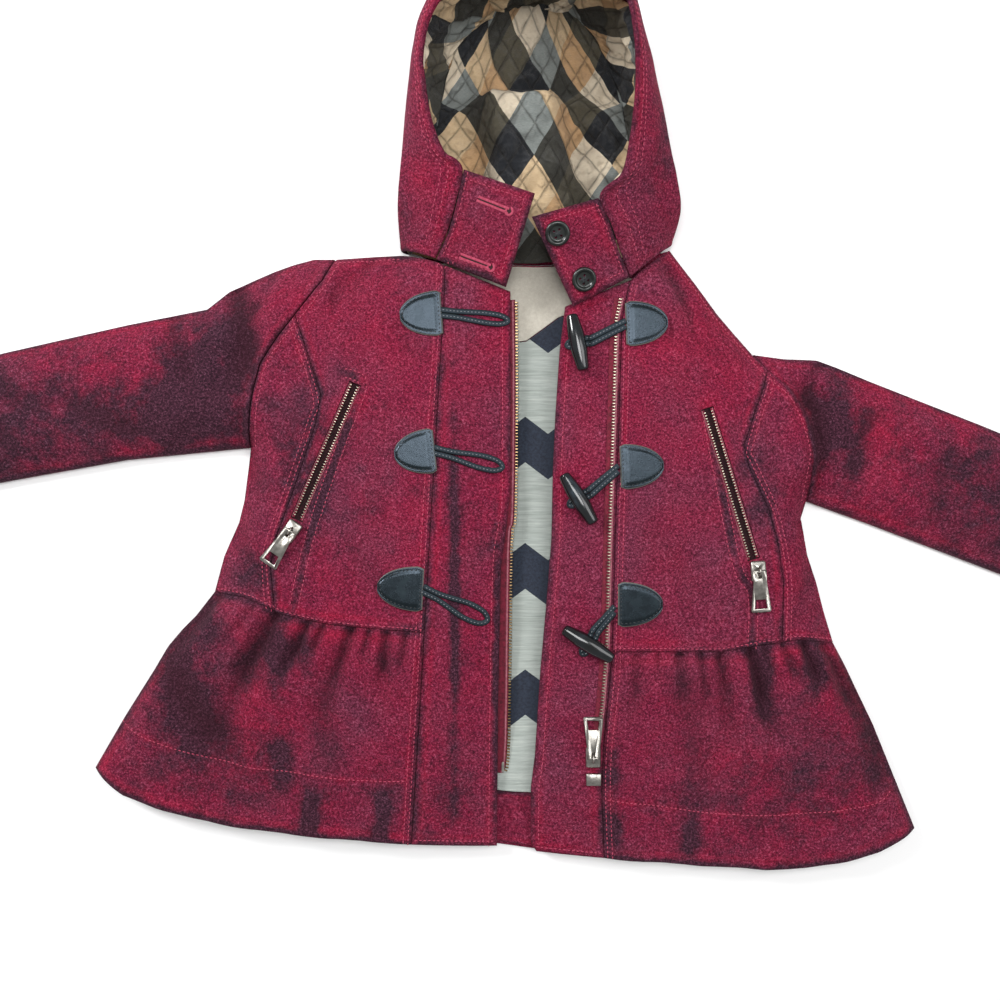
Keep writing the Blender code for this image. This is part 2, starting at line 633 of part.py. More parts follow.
def make_front(side):
    """Side panel, front panel, peplum and front band of one half."""
    lines = half_plan(side)
    waist = chain(lines["waist_side"], lines["waist_front"])
    waist_end = lines["waist_front"][-1]
    above = [point for point in lines["band_seam"] if point[1] > waist_end[1]]
    below = [point for point in lines["band_seam"] if point[1] < waist_end[1]]

    cloth(f"side_panel_{side}", lines["seam"][::-1], lines["princess"][::-1], lines["waist_side"],
          lines["lower"][::-1], 6, PRINCESS_ROWS, front_top, WOOL_FINISH)
    top = chain(lines["upper"][::-1], lines["shoulder"][::-1], lines["neck"][::-1])
    panel = cloth(f"front_panel_{side}", lines["princess"][::-1], [waist_end] + above[::-1],
                  lines["waist_front"], top, 10, PRINCESS_ROWS, front_top, WOOL_FINISH)
    cloth(f"peplum_{side}", lines["peplum"][::-1], below[::-1] + [waist_end], lines["hem"], waist,
          42, 7, front_top, WOOL_FINISH, extra=lambda u, v: gather_height(lines["gathers"], waist, u, v))
    cloth(f"front_band_{side}", lines["band_seam"][::-1], lines["band_edge"][::-1],
          lines["band_hem"], lines["band_neck"][::-1], 3, 26, front_top, WOOL_FINISH,
          thick=DOUBLE_WOOL)
    return panel


def make_sleeve(side):
    """The upper half of a sleeve over its flat under half, open at the cuff."""
    lines = half_plan(side)
    outward = -ARMHOLE_GAP if side == "right" else ARMHOLE_GAP
    armhole = shifted(chain(lines["upper"], lines["lower"]), x=outward)
    top_fold, under_fold = (shifted(line, x=outward) for line in SLEEVE_FOLDS[side])
    cloth(f"sleeve_upper_{side}", under_fold, top_fold, armhole[::-1], [under_fold[-1], top_fold[-1]],
          12, 12, lambda x, y: sleeve_top(side, x, y), WOOL_FINISH)
    plate(f"sleeve_under_{side}", armhole + under_fold[1:] + top_fold[1:][::-1], 0.0, BACK_TOP, WOOL_FINISH)


# ---- hood

def hood_profile(place):
    """Profile at a fractional place in the table, on a smooth curve through its rows."""
    last = len(HOOD_PROFILES) - 1
    i = min(max(int(place), 0), last - 1)
    t = place - i
    rows = [HOOD_PROFILES[min(max(i + step, 0), last)] for step in (-1, 0, 1, 2)]
    values = []
    for a, b, c, d in zip(*rows):
        bend = (2 * b, c - a, 2 * a - 5 * b + 4 * c - d, 3 * b - a - 3 * c + d)
        values.append(0.5 * sum(part * t ** power for power, part in enumerate(bend)))
    return Profile(*values)


def hood_point(place, down):
    """Outer face of the hood's wall: down is 0 at the rim, 0.5 where it is widest, 1 at the foot."""
    row = hood_profile(place)
    rim = Vector((row.rim_x, row.rim_y, row.rim_z))
    wide = Vector((row.wide_x, row.wide_y, row.wide_z))
    if down <= 0.5:
        share = down / 0.5
        out = Vector((wide.x - rim.x, wide.y - rim.y, 0.0)).normalized()
        swell = (out + Vector((0, 0, 1))) * (HOOD_WALL_BULGE * 0.7 * math.sin(math.pi * share))
        return rim.lerp(wide, share) + swell
    angle = (down - 0.5) / 0.5 * math.pi / 2
    reach = math.cos(angle)
    return Vector((mix(row.foot_x, wide.x, reach), mix(row.foot_y, wide.y, reach),
                   wide.z * (1.0 - math.sin(angle))))


def hood_face(depth):
    """The wall's surface at a depth inside its outer face."""
    step = 0.02

    def at(place, down):
        ahead, behind = min(place + step, len(HOOD_PROFILES) - 1), max(place - step, 0)
        lower, upper = min(down + step, 1.0), max(down - step, 0.0)
        round_rim = hood_point(ahead, down) - hood_point(behind, down)
        down_wall = hood_point(place, lower) - hood_point(place, upper)
        normal = round_rim.cross(down_wall).normalized()
        if normal.dot(hood_point(place, down) - HOOD_MIDDLE) < 0:
            normal.negate()
        return hood_point(place, down) - normal * depth

    return at


def facing_share(place):
    """Where the lining starts below the rim: a wool facing shows above it."""
    half = (len(HOOD_PROFILES) - 1) / 2
    return mix(FACING_AT_CHIN, FACING_AT_CROWN, smooth(1.0 - abs(place - half) / half)) / 2


def make_hood_wall(name, first, last, columns, rows, start, depth, thick, finish):
    """Part of the wall, divided like its neighbours. Its top edge runs at start(place)."""
    outer, inner = hood_face(depth), hood_face(depth + thick)

    def placed(face):
        def at(u, v):
            place, row = mix(first, last, u), round(v * rows)
            down = (row + HOOD_ROWS - rows) / HOOD_ROWS if row else start(place)
            return face(place, down)
        return at

    wall(name, columns, rows, placed(outer), placed(inner), finish)


def nape_fold(x, y):
    """Height of the lining's loose fold inside the back of the hood."""
    neck = BACK_NECK[3][1]
    if y < NAPE_FOLD_CREST:
        lengthwise = smooth((y - neck) / (NAPE_FOLD_CREST - neck))
    else:
        lengthwise = 1.0 - smooth((y - NAPE_FOLD_CREST) / (NAPE_FOLD_END - NAPE_FOLD_CREST))
    across = min(abs(x - NAPE_FOLD_X) / NAPE_FOLD_HALF, 1.0)
    return NAPE_FOLD_HEIGHT * lengthwise * math.cos(across * math.pi / 2) ** 2


def make_hood():
    """Two side panels and a centre gusset, a flat back, and a quilted lining inside each."""
    last = len(HOOD_PROFILES) - 1
    slit = 0.035
    pieces = (
        ("right", 0.0, CENTRE_FIRST - slit, 14),
        ("centre", CENTRE_FIRST + slit, CENTRE_LAST - slit, 4),
        ("left", CENTRE_LAST + slit, float(last), 14),
    )
    for side, first, end, columns in pieces:
        make_hood_wall(f"hood_{side}", first, end, columns, HOOD_ROWS, lambda place: 0.0, 0.0, WOOL,
                       WOOL_FINISH)
        make_hood_wall(f"hood_lining_{side}", first + slit, end - slit, columns, HOOD_ROWS - 1, facing_share,
                       WOOL + HOOD_LINING_GAP, QUILTED_LINING, QUILT_FINISH)
    feet = [(row.foot_x, row.foot_y) for row in HOOD_PROFILES]
    middle = Vector(HOOD_MIDDLE[:2])
    drawn = []
    for foot in feet:
        away = Vector(foot) - middle
        drawn.append(tuple(middle + away * (1.0 - HOOD_FLOOR_GAP / away.length)))
    neck = shifted(BACK_NECK[1:-1], y=HOOD_NECK_GAP)
    plate("hood_back", drawn + neck[::-1], 0.0, WOOL, WOOL_FINISH)
    side_count = 9
    right_foot, left_foot = feet[:side_count + 1], feet[::-1][:side_count + 1]
    neck_edge = [feet[0]] + neck + [feet[-1]]
    crown_edge = feet[side_count:last - side_count + 1]
    cloth("hood_lining_back", right_foot, left_foot, neck_edge, crown_edge, 12, 14,
          lambda x, y: WOOL + GAP + QUILTED_LINING + nape_fold(x, y), QUILT_FINISH,
          thick=QUILTED_LINING, inset=1.4 * HOOD_FLOOR_GAP)


def tab_plan(side):
    """Middle surface of a chin tab, from the hood's front edge to the free end."""
    right = side == "right"
    rows = HOOD_PROFILES[:4] if right else HOOD_PROFILES[::-1][:4]
    clear = TAB_SEAM if right else -TAB_SEAM
    seam = [(row.rim_x + clear, row.rim_y, row.rim_z) for row in rows]
    end = [tuple(corner) for corner in (TAB_RIGHT_END if right else TAB_LEFT_END)]
    return coons(seam, end, [seam[0], end[0]], [seam[-1], end[-1]], 6, 6, inset=0.0)


def make_tab(side):
    face = tab_plan(side)
    wall(f"chin_tab_{side}", 6, 6, face, lambda u, v: face(u, v) - Vector((0, 0, DOUBLE_WOOL)), WOOL_FINISH)


def tab_height(side):
    """Height of a chin tab's face, found from its surface by narrowing in on the point."""
    face = tab_plan(side)

    def at(x, y):
        u, v, reach = 0.5, 0.5, 0.5
        for _ in range(14):
            tries = [(min(max(u + i * reach / 2, 0), 1), min(max(v + j * reach / 2, 0), 1))
                     for i in (-1, 0, 1) for j in (-1, 0, 1)]
            u, v = min(tries, key=lambda at_uv: (face(*at_uv).xy - Vector((x, y))).length)
            reach *= 0.7
        return face(u, v).z

    return at


# ---- turned pieces

def turned(name, profile, steps, finish, matrix):
    """A profile of (radius, height) turned about Z. It runs down its outer side."""
    mesh = bpy.data.meshes.new(name)
    shape = bmesh.new()
    verts = [shape.verts.new((radius * MM, 0.0, height * MM)) for radius, height in profile]
    for a, b in zip(verts, verts[1:]):
        shape.edges.new((a, b))
    shape.to_mesh(mesh)
    shape.free()
    made = add_object(name, mesh, finish, matrix)
    screw = made.modifiers.new("turn", "SCREW")
    screw.steps = steps
    screw.render_steps = steps
    screw.use_merge_vertices = True
    screw.merge_threshold = 0.00001
    screw.use_smooth_shade = True
    return made


def make_buttons():
    profile = ((0, 2.0), (5.4, 2.0), (6.4, 3.0), (8.0, 3.3), (BUTTON_RADIUS, 2.3), (8.5, 0.8),
               (6.6, 0.0), (0, 0.0))
    height = tab_height("left")
    for number, (x, y) in enumerate(BUTTONS, 1):
        place = frame_on(height, x, y, 20.0 * number, BUTTON_LIFT)
        made = turned(f"button_{number}", profile, 20, HORN_FINISH, place)
        shape = bmesh.new()
        for i, j in ((-1, -1), (-1, 1), (1, -1), (1, 1)):
            spot = Matrix.Translation(Vector((i, j, 1.0)) * BUTTON_HOLE_OFFSET * MM)
            bmesh.ops.create_cone(shape, cap_ends=True, segments=6, radius1=BUTTON_HOLE_RADIUS * MM,
                                  radius2=BUTTON_HOLE_RADIUS * MM, depth=8 * MM, matrix=spot)
        mesh = bpy.data.meshes.new("holes")
        shape.to_mesh(mesh)
        shape.free()
        boolean(made, add_object(f"holes_{number}", mesh, HORN_FINISH, place), "DIFFERENCE")


def make_toggles():
    half, groove = TOGGLE_LENGTH / 2, TOGGLE_GROOVE_HALF
    upper = [(0, half), (TOGGLE_END - 1.0, half), (TOGGLE_END, half - 1.2), (5.2, half - 9.0),
             (TOGGLE_RADIUS, groove + 2.6), (TOGGLE_GROOVE + 0.2, groove), (TOGGLE_GROOVE, 0.0)]
    profile = upper + [(radius, -height) for radius, height in upper[:-1][::-1]]
    for name, toggle in TOGGLES.items():
        place = frame_on(front_top, toggle.x, toggle.y, toggle.turn, TOGGLE_LIFT)
        turned(f"toggle_{name}", profile, 12, HORN_FINISH, place @ Matrix.Rotation(math.pi / 2, 4, "Y"))


# ---- leather

def make_patch(name, patch):
    turn = math.radians(patch.turn)
    ahead, aside = Vector((math.cos(turn), math.sin(turn))), Vector((-math.sin(turn), math.cos(turn)))

    def face(lift):
        def at(u, v):
            reach = 0.985 * math.sin(u * math.pi / 2)
            half = PATCH_WIDTH / 2 * (1.0 - reach ** 2) ** 0.62
            spot = Vector((patch.x, patch.y)) + ahead * reach * patch.length + aside * half * (2 * v - 1)
            return spot.x, spot.y, front_top(*spot) + lift
        return at

    wall(f"patch_{name}", 6, 4, face(GAP + LEATHER), face(GAP), LEATHER_FINISH)


def strap_start(patch, ahead):
    """How far from the patch a strap is drawn, so that its corner just clears the patch."""
    turn = math.radians(patch.turn)
    square = -ahead.x * math.cos(turn) - ahead.y * math.sin(turn)
    return (STRAP_START + STRAP_HALF * math.sqrt(1.0 - square ** 2)) / square


def make_loop(name, loop):
    """A doubled strap from the patch out onto the band, its end open for the toggle."""
    patch = PATCHES[name]
    start, end = Vector((patch.x, patch.y)), Vector((loop.far_x, loop.far_y))
    ahead = (end - start).normalized()
    start += ahead * strap_start(patch, ahead)
    aside = Vector((-ahead.y, ahead.x))
    half = loop.spread / 2
    route = ((0.0, 2.0), (0.2, 2.0), (0.42, mix(2.0, half, 0.5)), (0.64, half), (0.84, half * 0.92),
             (0.96, half * 0.5))
    strand = [(start.lerp(end, share), offset) for share, offset in route]
    plan = [spot + aside * offset for spot, offset in strand] + [end]
    plan += [spot - aside * offset for spot, offset in strand[::-1]]
    tube(f"loop_{name}", [(p.x, p.y, front_top(p.x, p.y) + GAP + STRAP_RADIUS) for p in plan],
         STRAP_RADIUS, LEATHER_FINISH)


def make_toggle_cord(name, toggle):
    """A doubled strap from the patch, up and over the toggle's groove and back."""
    patch = PATCHES[name]
    start, middle = Vector((patch.x, patch.y)), Vector((toggle.x, toggle.y))
    start += (middle - start).normalized() * strap_start(patch, (middle - start).normalized())
    turn = math.radians(toggle.turn)
    axis = Vector((math.cos(turn), math.sin(turn)))
    if axis.y > 0:
        axis = -axis
    over = Vector((axis.y, -axis.x))     # square to the toggle, away from the patch
    edge = Vector((0.0, -1.0))
    around = TOGGLE_GROOVE + STRAP_RADIUS + 0.9
    base = front_top(middle.x, middle.y) + TOGGLE_LIFT
    near = middle - over * 11.0
    half = 2.1
    strand = []
    for share in (0.0, 0.5, 1.0):
        spot = start.lerp(near, share)
        strand.append((spot, edge.lerp(axis, share), front_top(spot.x, spot.y) + STRAP_RADIUS + CORD_LIFT))
    for angle in (195, 160, 125, 90, 55, 20):
        turn = math.radians(angle)
        spot = middle + over * around * math.cos(turn)
        strand.append((spot, axis, base + around * math.sin(turn)))
    points = [(*(spot + side * half), height) for spot, side, height in strand]
    far = middle + over * (around + 1.0)
    points.append((far.x, far.y, base - 1.0))
    points += [(*(spot - side * half), height) for spot, side, height in strand[::-1]]
    tube(f"toggle_cord_{name}", points, STRAP_RADIUS, LEATHER_FINISH)


# ---- zips

def cut_line(line, low, high):
    """The stretch of a line that runs down the coat between two levels, going up."""
    inner = [point for point in line if low < point[1] < high]
    return [(x_on(line, low), low)] + inner[::-1] + [(x_on(line, high), high)]


def make_main_zip():
    under = [(x, y) for x, y in ZIP_RIGHT_EDGE[::-1]]
    cloth("zip_tape_right", shifted(under, x=-ZIP_RIGHT_WIDTH), under,
          [(under[0][0] - ZIP_RIGHT_WIDTH, under[0][1]), under[0]],
          [(under[-1][0] - ZIP_RIGHT_WIDTH, under[-1][1]), under[-1]], 2, 26,
          lambda x, y: front_top(x, y) - DOUBLE_WOOL - ZIP_RIGHT_DROP, TAPE_FINISH, thick=TAPE)
    seam = cut_line(BAND_SEAM_LEFT, ZIP_LEFT_END, 147.0)
    inner, outer = shifted(seam, x=-ZIP_LEFT_WIDTH - 1.6), shifted(seam, x=-1.6)
    cloth("zip_tape_left", inner, outer, [inner[0], outer[0]], [inner[-1], outer[-1]], 1, 26,
          lambda x, y: front_top(x, y) + GAP + TAPE, TAPE_FINISH, thick=TAPE)
    slider_place = frame_on(front_top, *MAIN_SLIDER, MAIN_PULL_TURN, SLIDER_LIFT)
    make_slider("zip_slider", slider_place)
    make_pull("zip_pull", slider_place)
    box = box_piece("zip_box", ZIP_BOX_SIZE, METAL_FINISH)
    box.matrix_world = frame_on(front_top, *ZIP_BOX, 0.0, SLIDER_LIFT + ZIP_BOX_SIZE[2] / 2)


def box_piece(name, size, finish, bevel=0.6):
    shape = bmesh.new()
    bmesh.ops.create_cube(shape, size=1.0)
    bmesh.ops.scale(shape, vec=Vector(size) * MM, verts=shape.verts)
    mesh = bpy.data.meshes.new(name)
    shape.to_mesh(mesh)
    shape.free()
    made = add_object(name, mesh, finish)
    if bevel:
        rounding = made.modifiers.new("rounding", "BEVEL")
        rounding.width = bevel * MM
        rounding.segments = 1
    return made


def make_slider(name, place):
    """A slider with the arched bail that holds its pull. X heads the way the pull lies."""
    body = box_piece(name, (SLIDER_LENGTH, SLIDER_WIDTH, SLIDER_HEIGHT), METAL_FINISH, bevel=1.0)
    body.matrix_world = place @ Matrix.Translation((0, 0, SLIDER_HEIGHT / 2 * MM))
    hinge = SLIDER_HEIGHT + HINGE_OVER_SLIDER
    foot = SLIDER_HEIGHT - 1.2
    points = [(-BAIL_RADIUS, 0, foot)]
    for step in range(9):
        turn = math.pi * (1 - step / 8)
        points.append((BAIL_RADIUS * math.cos(turn), 0, hinge + BAIL_RADIUS * math.sin(turn)))
    points.append((BAIL_RADIUS, 0, foot))
    bail = tube(f"{name}_bail", points, BAIL_WIRE, METAL_FINISH)
    bail.matrix_world = place
    bpy.context.view_layer.update()
    boolean(body, as_mesh(bail), "UNION")


def make_pull(name, place):
    """A pull tab with a slot for the bail, turning about the bar at its narrow end."""
    outlines = (
        ((-PULL_BAR, -PULL_NECK / 2), (8.0, -PULL_NECK / 2), (PULL_LENGTH - 2, -PULL_TIP / 2),
         (PULL_LENGTH - 1, -PULL_TIP / 2 + 1), (PULL_LENGTH - 1, PULL_TIP / 2 - 1),
         (PULL_LENGTH - 2, PULL_TIP / 2), (8.0, PULL_NECK / 2), (-PULL_BAR, PULL_NECK / 2)),
        ((PULL_BAR, -PULL_SLOT_HALF), (PULL_BAR, PULL_SLOT_HALF), (PULL_SLOT_END, PULL_SLOT_HALF),
         (PULL_SLOT_END, -PULL_SLOT_HALF)),
        ((PULL_WINDOW[0], -PULL_WINDOW_HALF + 0.5), (PULL_WINDOW[0], PULL_WINDOW_HALF - 0.5),
         (PULL_WINDOW[1], PULL_WINDOW_HALF + 0.5), (PULL_WINDOW[1], -PULL_WINDOW_HALF - 0.5)),
    )
    curve = bpy.data.curves.new(name, "CURVE")
    curve.dimensions = "2D"
    curve.fill_mode = "BOTH"
    curve.extrude = PULL_THICK / 2 * MM
    for outline in outlines:
        spline = curve.splines.new("POLY")
        spline.points.add(len(outline) - 1)
        for point, (x, y) in zip(spline.points, outline):
            point.co = (x * MM, y * MM, 0.0, 1.0)
        spline.use_cyclic_u = True
    curve.materials.append(METAL_FINISH)
    made = bpy.data.objects.new(name, curve)
    coat.objects.link(made)
    hinge = Matrix.Translation((0, 0, (SLIDER_HEIGHT + HINGE_OVER_SLIDER) * MM))
    made.matrix_world = place @ hinge @ Matrix.Rotation(math.radians(PULL_DIP), 4, "Y")


def make_pocket(side, panel):
    """A slit cut through the front, zip tapes inside it, and the pocket's bag behind it."""
    pocket = POCKETS[side]
    top, bottom = Vector(pocket.top), Vector(pocket.bottom)
    length = (bottom - top).length
    ahead = (bottom - top).normalized()
    aside = Vector((-ahead.y, ahead.x))
    middle = top.lerp(bottom, 0.5)
    cutter = box_piece(f"slit_{side}", (length, POCKET_SLIT, 60.0), TAPE_FINISH, bevel=0)
    cutter.matrix_world = (Matrix.Translation((*(middle * MM), front_top(*middle) * MM))
                           @ Matrix.Rotation(math.atan2(ahead.y, ahead.x), 4, "Z"))
    boolean(panel, cutter, "DIFFERENCE")

    def strip(offset, half, trim, drop, thick):
        def face(lower):
            def at(u, v):
                spot = top + ahead * mix(trim, length - trim, v) + aside * (offset + half * (2 * u - 1))
                return spot.x, spot.y, front_top(*spot) - drop - lower
            return at
        return face(0.0), face(thick)

    reach = POCKET_SLIT / 2 - GAP - POCKET_TAPE / 2
    for number, offset in enumerate((-reach, reach), 1):
        outer, inner = strip(offset, POCKET_TAPE / 2, 0.8, POCKET_TAPE_DEPTH, TAPE)
        wall(f"pocket_tape_{side}_{number}", 1, 12, outer, inner, TAPE_FINISH)
    outer, inner = strip(0.0, POCKET_SLIT / 2 + POCKET_BAG_MARGIN, -6.0, WOOL + GAP * 2, LINING)
    wall(f"pocket_bag_{side}", 4, 10, outer, inner, BAG_FINISH)
    past = bottom + ahead * POCKET_SLIDER_PAST
    place = frame_on(front_top, past.x, past.y, pocket.pull_turn, SLIDER_LIFT)
    make_slider(f"pocket_slider_{side}", place)
    make_pull(f"pocket_pull_{side}", place)


def main():
    make_back()
    make_lining()
    for side in ("right", "left"):
        panel = make_front(side)
        make_pocket(side, panel)
        make_sleeve(side)
        make_tab(side)
    make_hood()
    make_main_zip()
    make_buttons()
    make_toggles()
    for name, patch in PATCHES.items():
        make_patch(name, patch)
    for name, loop in LOOPS.items():
        make_loop(name, loop)
    for name, toggle in TOGGLES.items():
        make_toggle_cord(name, toggle)


for old in list(bpy.data.objects):
    bpy.data.objects.remove(old)
coat = bpy.data.collections.new("toddler_coat")
tools = bpy.data.collections.new("cutters")
for home in (coat, tools):
    bpy.context.scene.collection.children.link(home)

WOOL_FINISH = material("burgundy_wool", (0.16, 0.018, 0.04), 0.92)
LINING_FINISH = material("pale_grey_cotton", (0.50, 0.53, 0.50), 0.8)
YOKE_FINISH = material("cream_cotton", (0.62, 0.58, 0.48), 0.8)
QUILT_FINISH = material("quilted_cotton", (0.42, 0.33, 0.22), 0.8)
BAG_FINISH = material("pocket_cotton", (0.05, 0.008, 0.012), 0.85)
TAPE_FINISH = material("zip_tape", (0.30, 0.03, 0.06), 0.75)
LEATHER_FINISH = material("black_leather", (0.02, 0.024, 0.028), 0.42)
HORN_FINISH = material("black_horn", (0.008, 0.009, 0.009), 0.2)
METAL_FINISH = material("nickel", (0.62, 0.60, 0.57), 0.3, 1.0)

main()
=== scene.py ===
from bisect import bisect_right
from collections import namedtuple
from contextlib import contextmanager
from math import atan2, copysign, cos, exp, hypot, pi, radians, sin, sqrt
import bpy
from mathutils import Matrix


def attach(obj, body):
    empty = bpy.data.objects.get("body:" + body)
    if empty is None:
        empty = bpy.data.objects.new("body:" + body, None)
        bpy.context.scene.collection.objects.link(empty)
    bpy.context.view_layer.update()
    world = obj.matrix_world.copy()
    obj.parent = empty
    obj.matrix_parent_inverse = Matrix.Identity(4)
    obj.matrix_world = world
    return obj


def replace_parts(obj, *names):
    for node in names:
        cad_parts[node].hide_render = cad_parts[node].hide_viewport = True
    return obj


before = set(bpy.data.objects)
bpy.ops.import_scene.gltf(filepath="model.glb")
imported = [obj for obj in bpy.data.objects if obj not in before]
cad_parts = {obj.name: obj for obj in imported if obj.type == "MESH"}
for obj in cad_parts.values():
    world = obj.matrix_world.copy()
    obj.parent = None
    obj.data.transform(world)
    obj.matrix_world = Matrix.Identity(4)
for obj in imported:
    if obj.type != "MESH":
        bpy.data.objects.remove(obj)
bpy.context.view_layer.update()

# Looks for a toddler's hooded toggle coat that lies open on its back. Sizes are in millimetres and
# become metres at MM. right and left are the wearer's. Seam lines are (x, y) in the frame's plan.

from types import SimpleNamespace

import bmesh
import bpy
from mathutils import Matrix, Vector, noise
from mathutils.bvhtree import BVHTree

MM = 0.001
ABOVE_ALL = 200.0       # a height over every piece
SIDES = ("right", "left")
CORNERS = ((-1, -1), (1, -1), (1, 1), (-1, 1))

# ---- cloth and trim thicknesses
WOOL = 3.0
DOUBLE_WOOL = 4.5      # button bands and chin tabs are two layers
LINING = 1.0
QUILTED_LINING = 2.5
LEATHER = 2.0
TAPE = 0.8
GAP = 0.3              # air between pieces that lie on each other
SEAM = 0.6             # the same between pieces sewn edge to edge
SEAM_REACH = 2.0       # an upper cloth's edge comes down to the back from this height

# ---- meshes: spacing of the cloth's mesh, and the closer steps and the rounding at its edges
STEP = 2.6
EDGE_STEPS = (0.35, 0.9, 1.8)
EDGE_ROUND = 1.1
EDGE_SHARE = 0.48       # a thin piece is rounded over this share of its thickness
FLAT_BEVEL = 0.35       # and a flat cut over this share
SHARP_CORNER = 28       # a line's corner that the mesh has to meet, in degrees
SMOOTH_BELOW = 50       # edges flatter than this many degrees are shaded smooth

# ---- sewing: rows lie this far from a seam
TOPSTITCH = 6.0
NEAR_STITCH = 2.6
TAB_STITCH = 2.4
PUCKER_REACH = 9.0      # puckers die out this far from a seam
TRENCH, TRENCH_HALF = 0.35, 1.3     # depth and half width of the dent along a row of topstitching
WORN_AND_SHADED_REACH = 3.2        # the felt is darker this far from a seam: part wear, part painted shade
RUBBED_HALF = 2.2       # and rubbed bright this far on both sides of a row of topstitching
STEEPEST = 0.35         # no stitch lies where the cloth's unit normal rises less than this

# ---- how high the front and the sleeves stand over the table
BACK_TOP = 2.8                      # the back lies flat
FOLD_TOP = BACK_TOP + GAP + WOOL    # front and back close together at a side or shoulder seam
FOLD_ROUNDING = 34.0                # the front has risen to its full height this far from there
OPENING_SHARE = 0.25                # of that height is lost again at the front edges
OPENING_SLOPE = 55.0
FRONT_LEVELS = ((-265, 13.5), (-170, 17), (-90, 21), (20, 22), (190, 22))   # y and height
SLEEVE_TOP_AT_CUFF = 20.0
SLEEVE_RISE = 120.0                 # the sleeve has its cuff's height this far from the body
ARMHOLE_GAP = 1.0

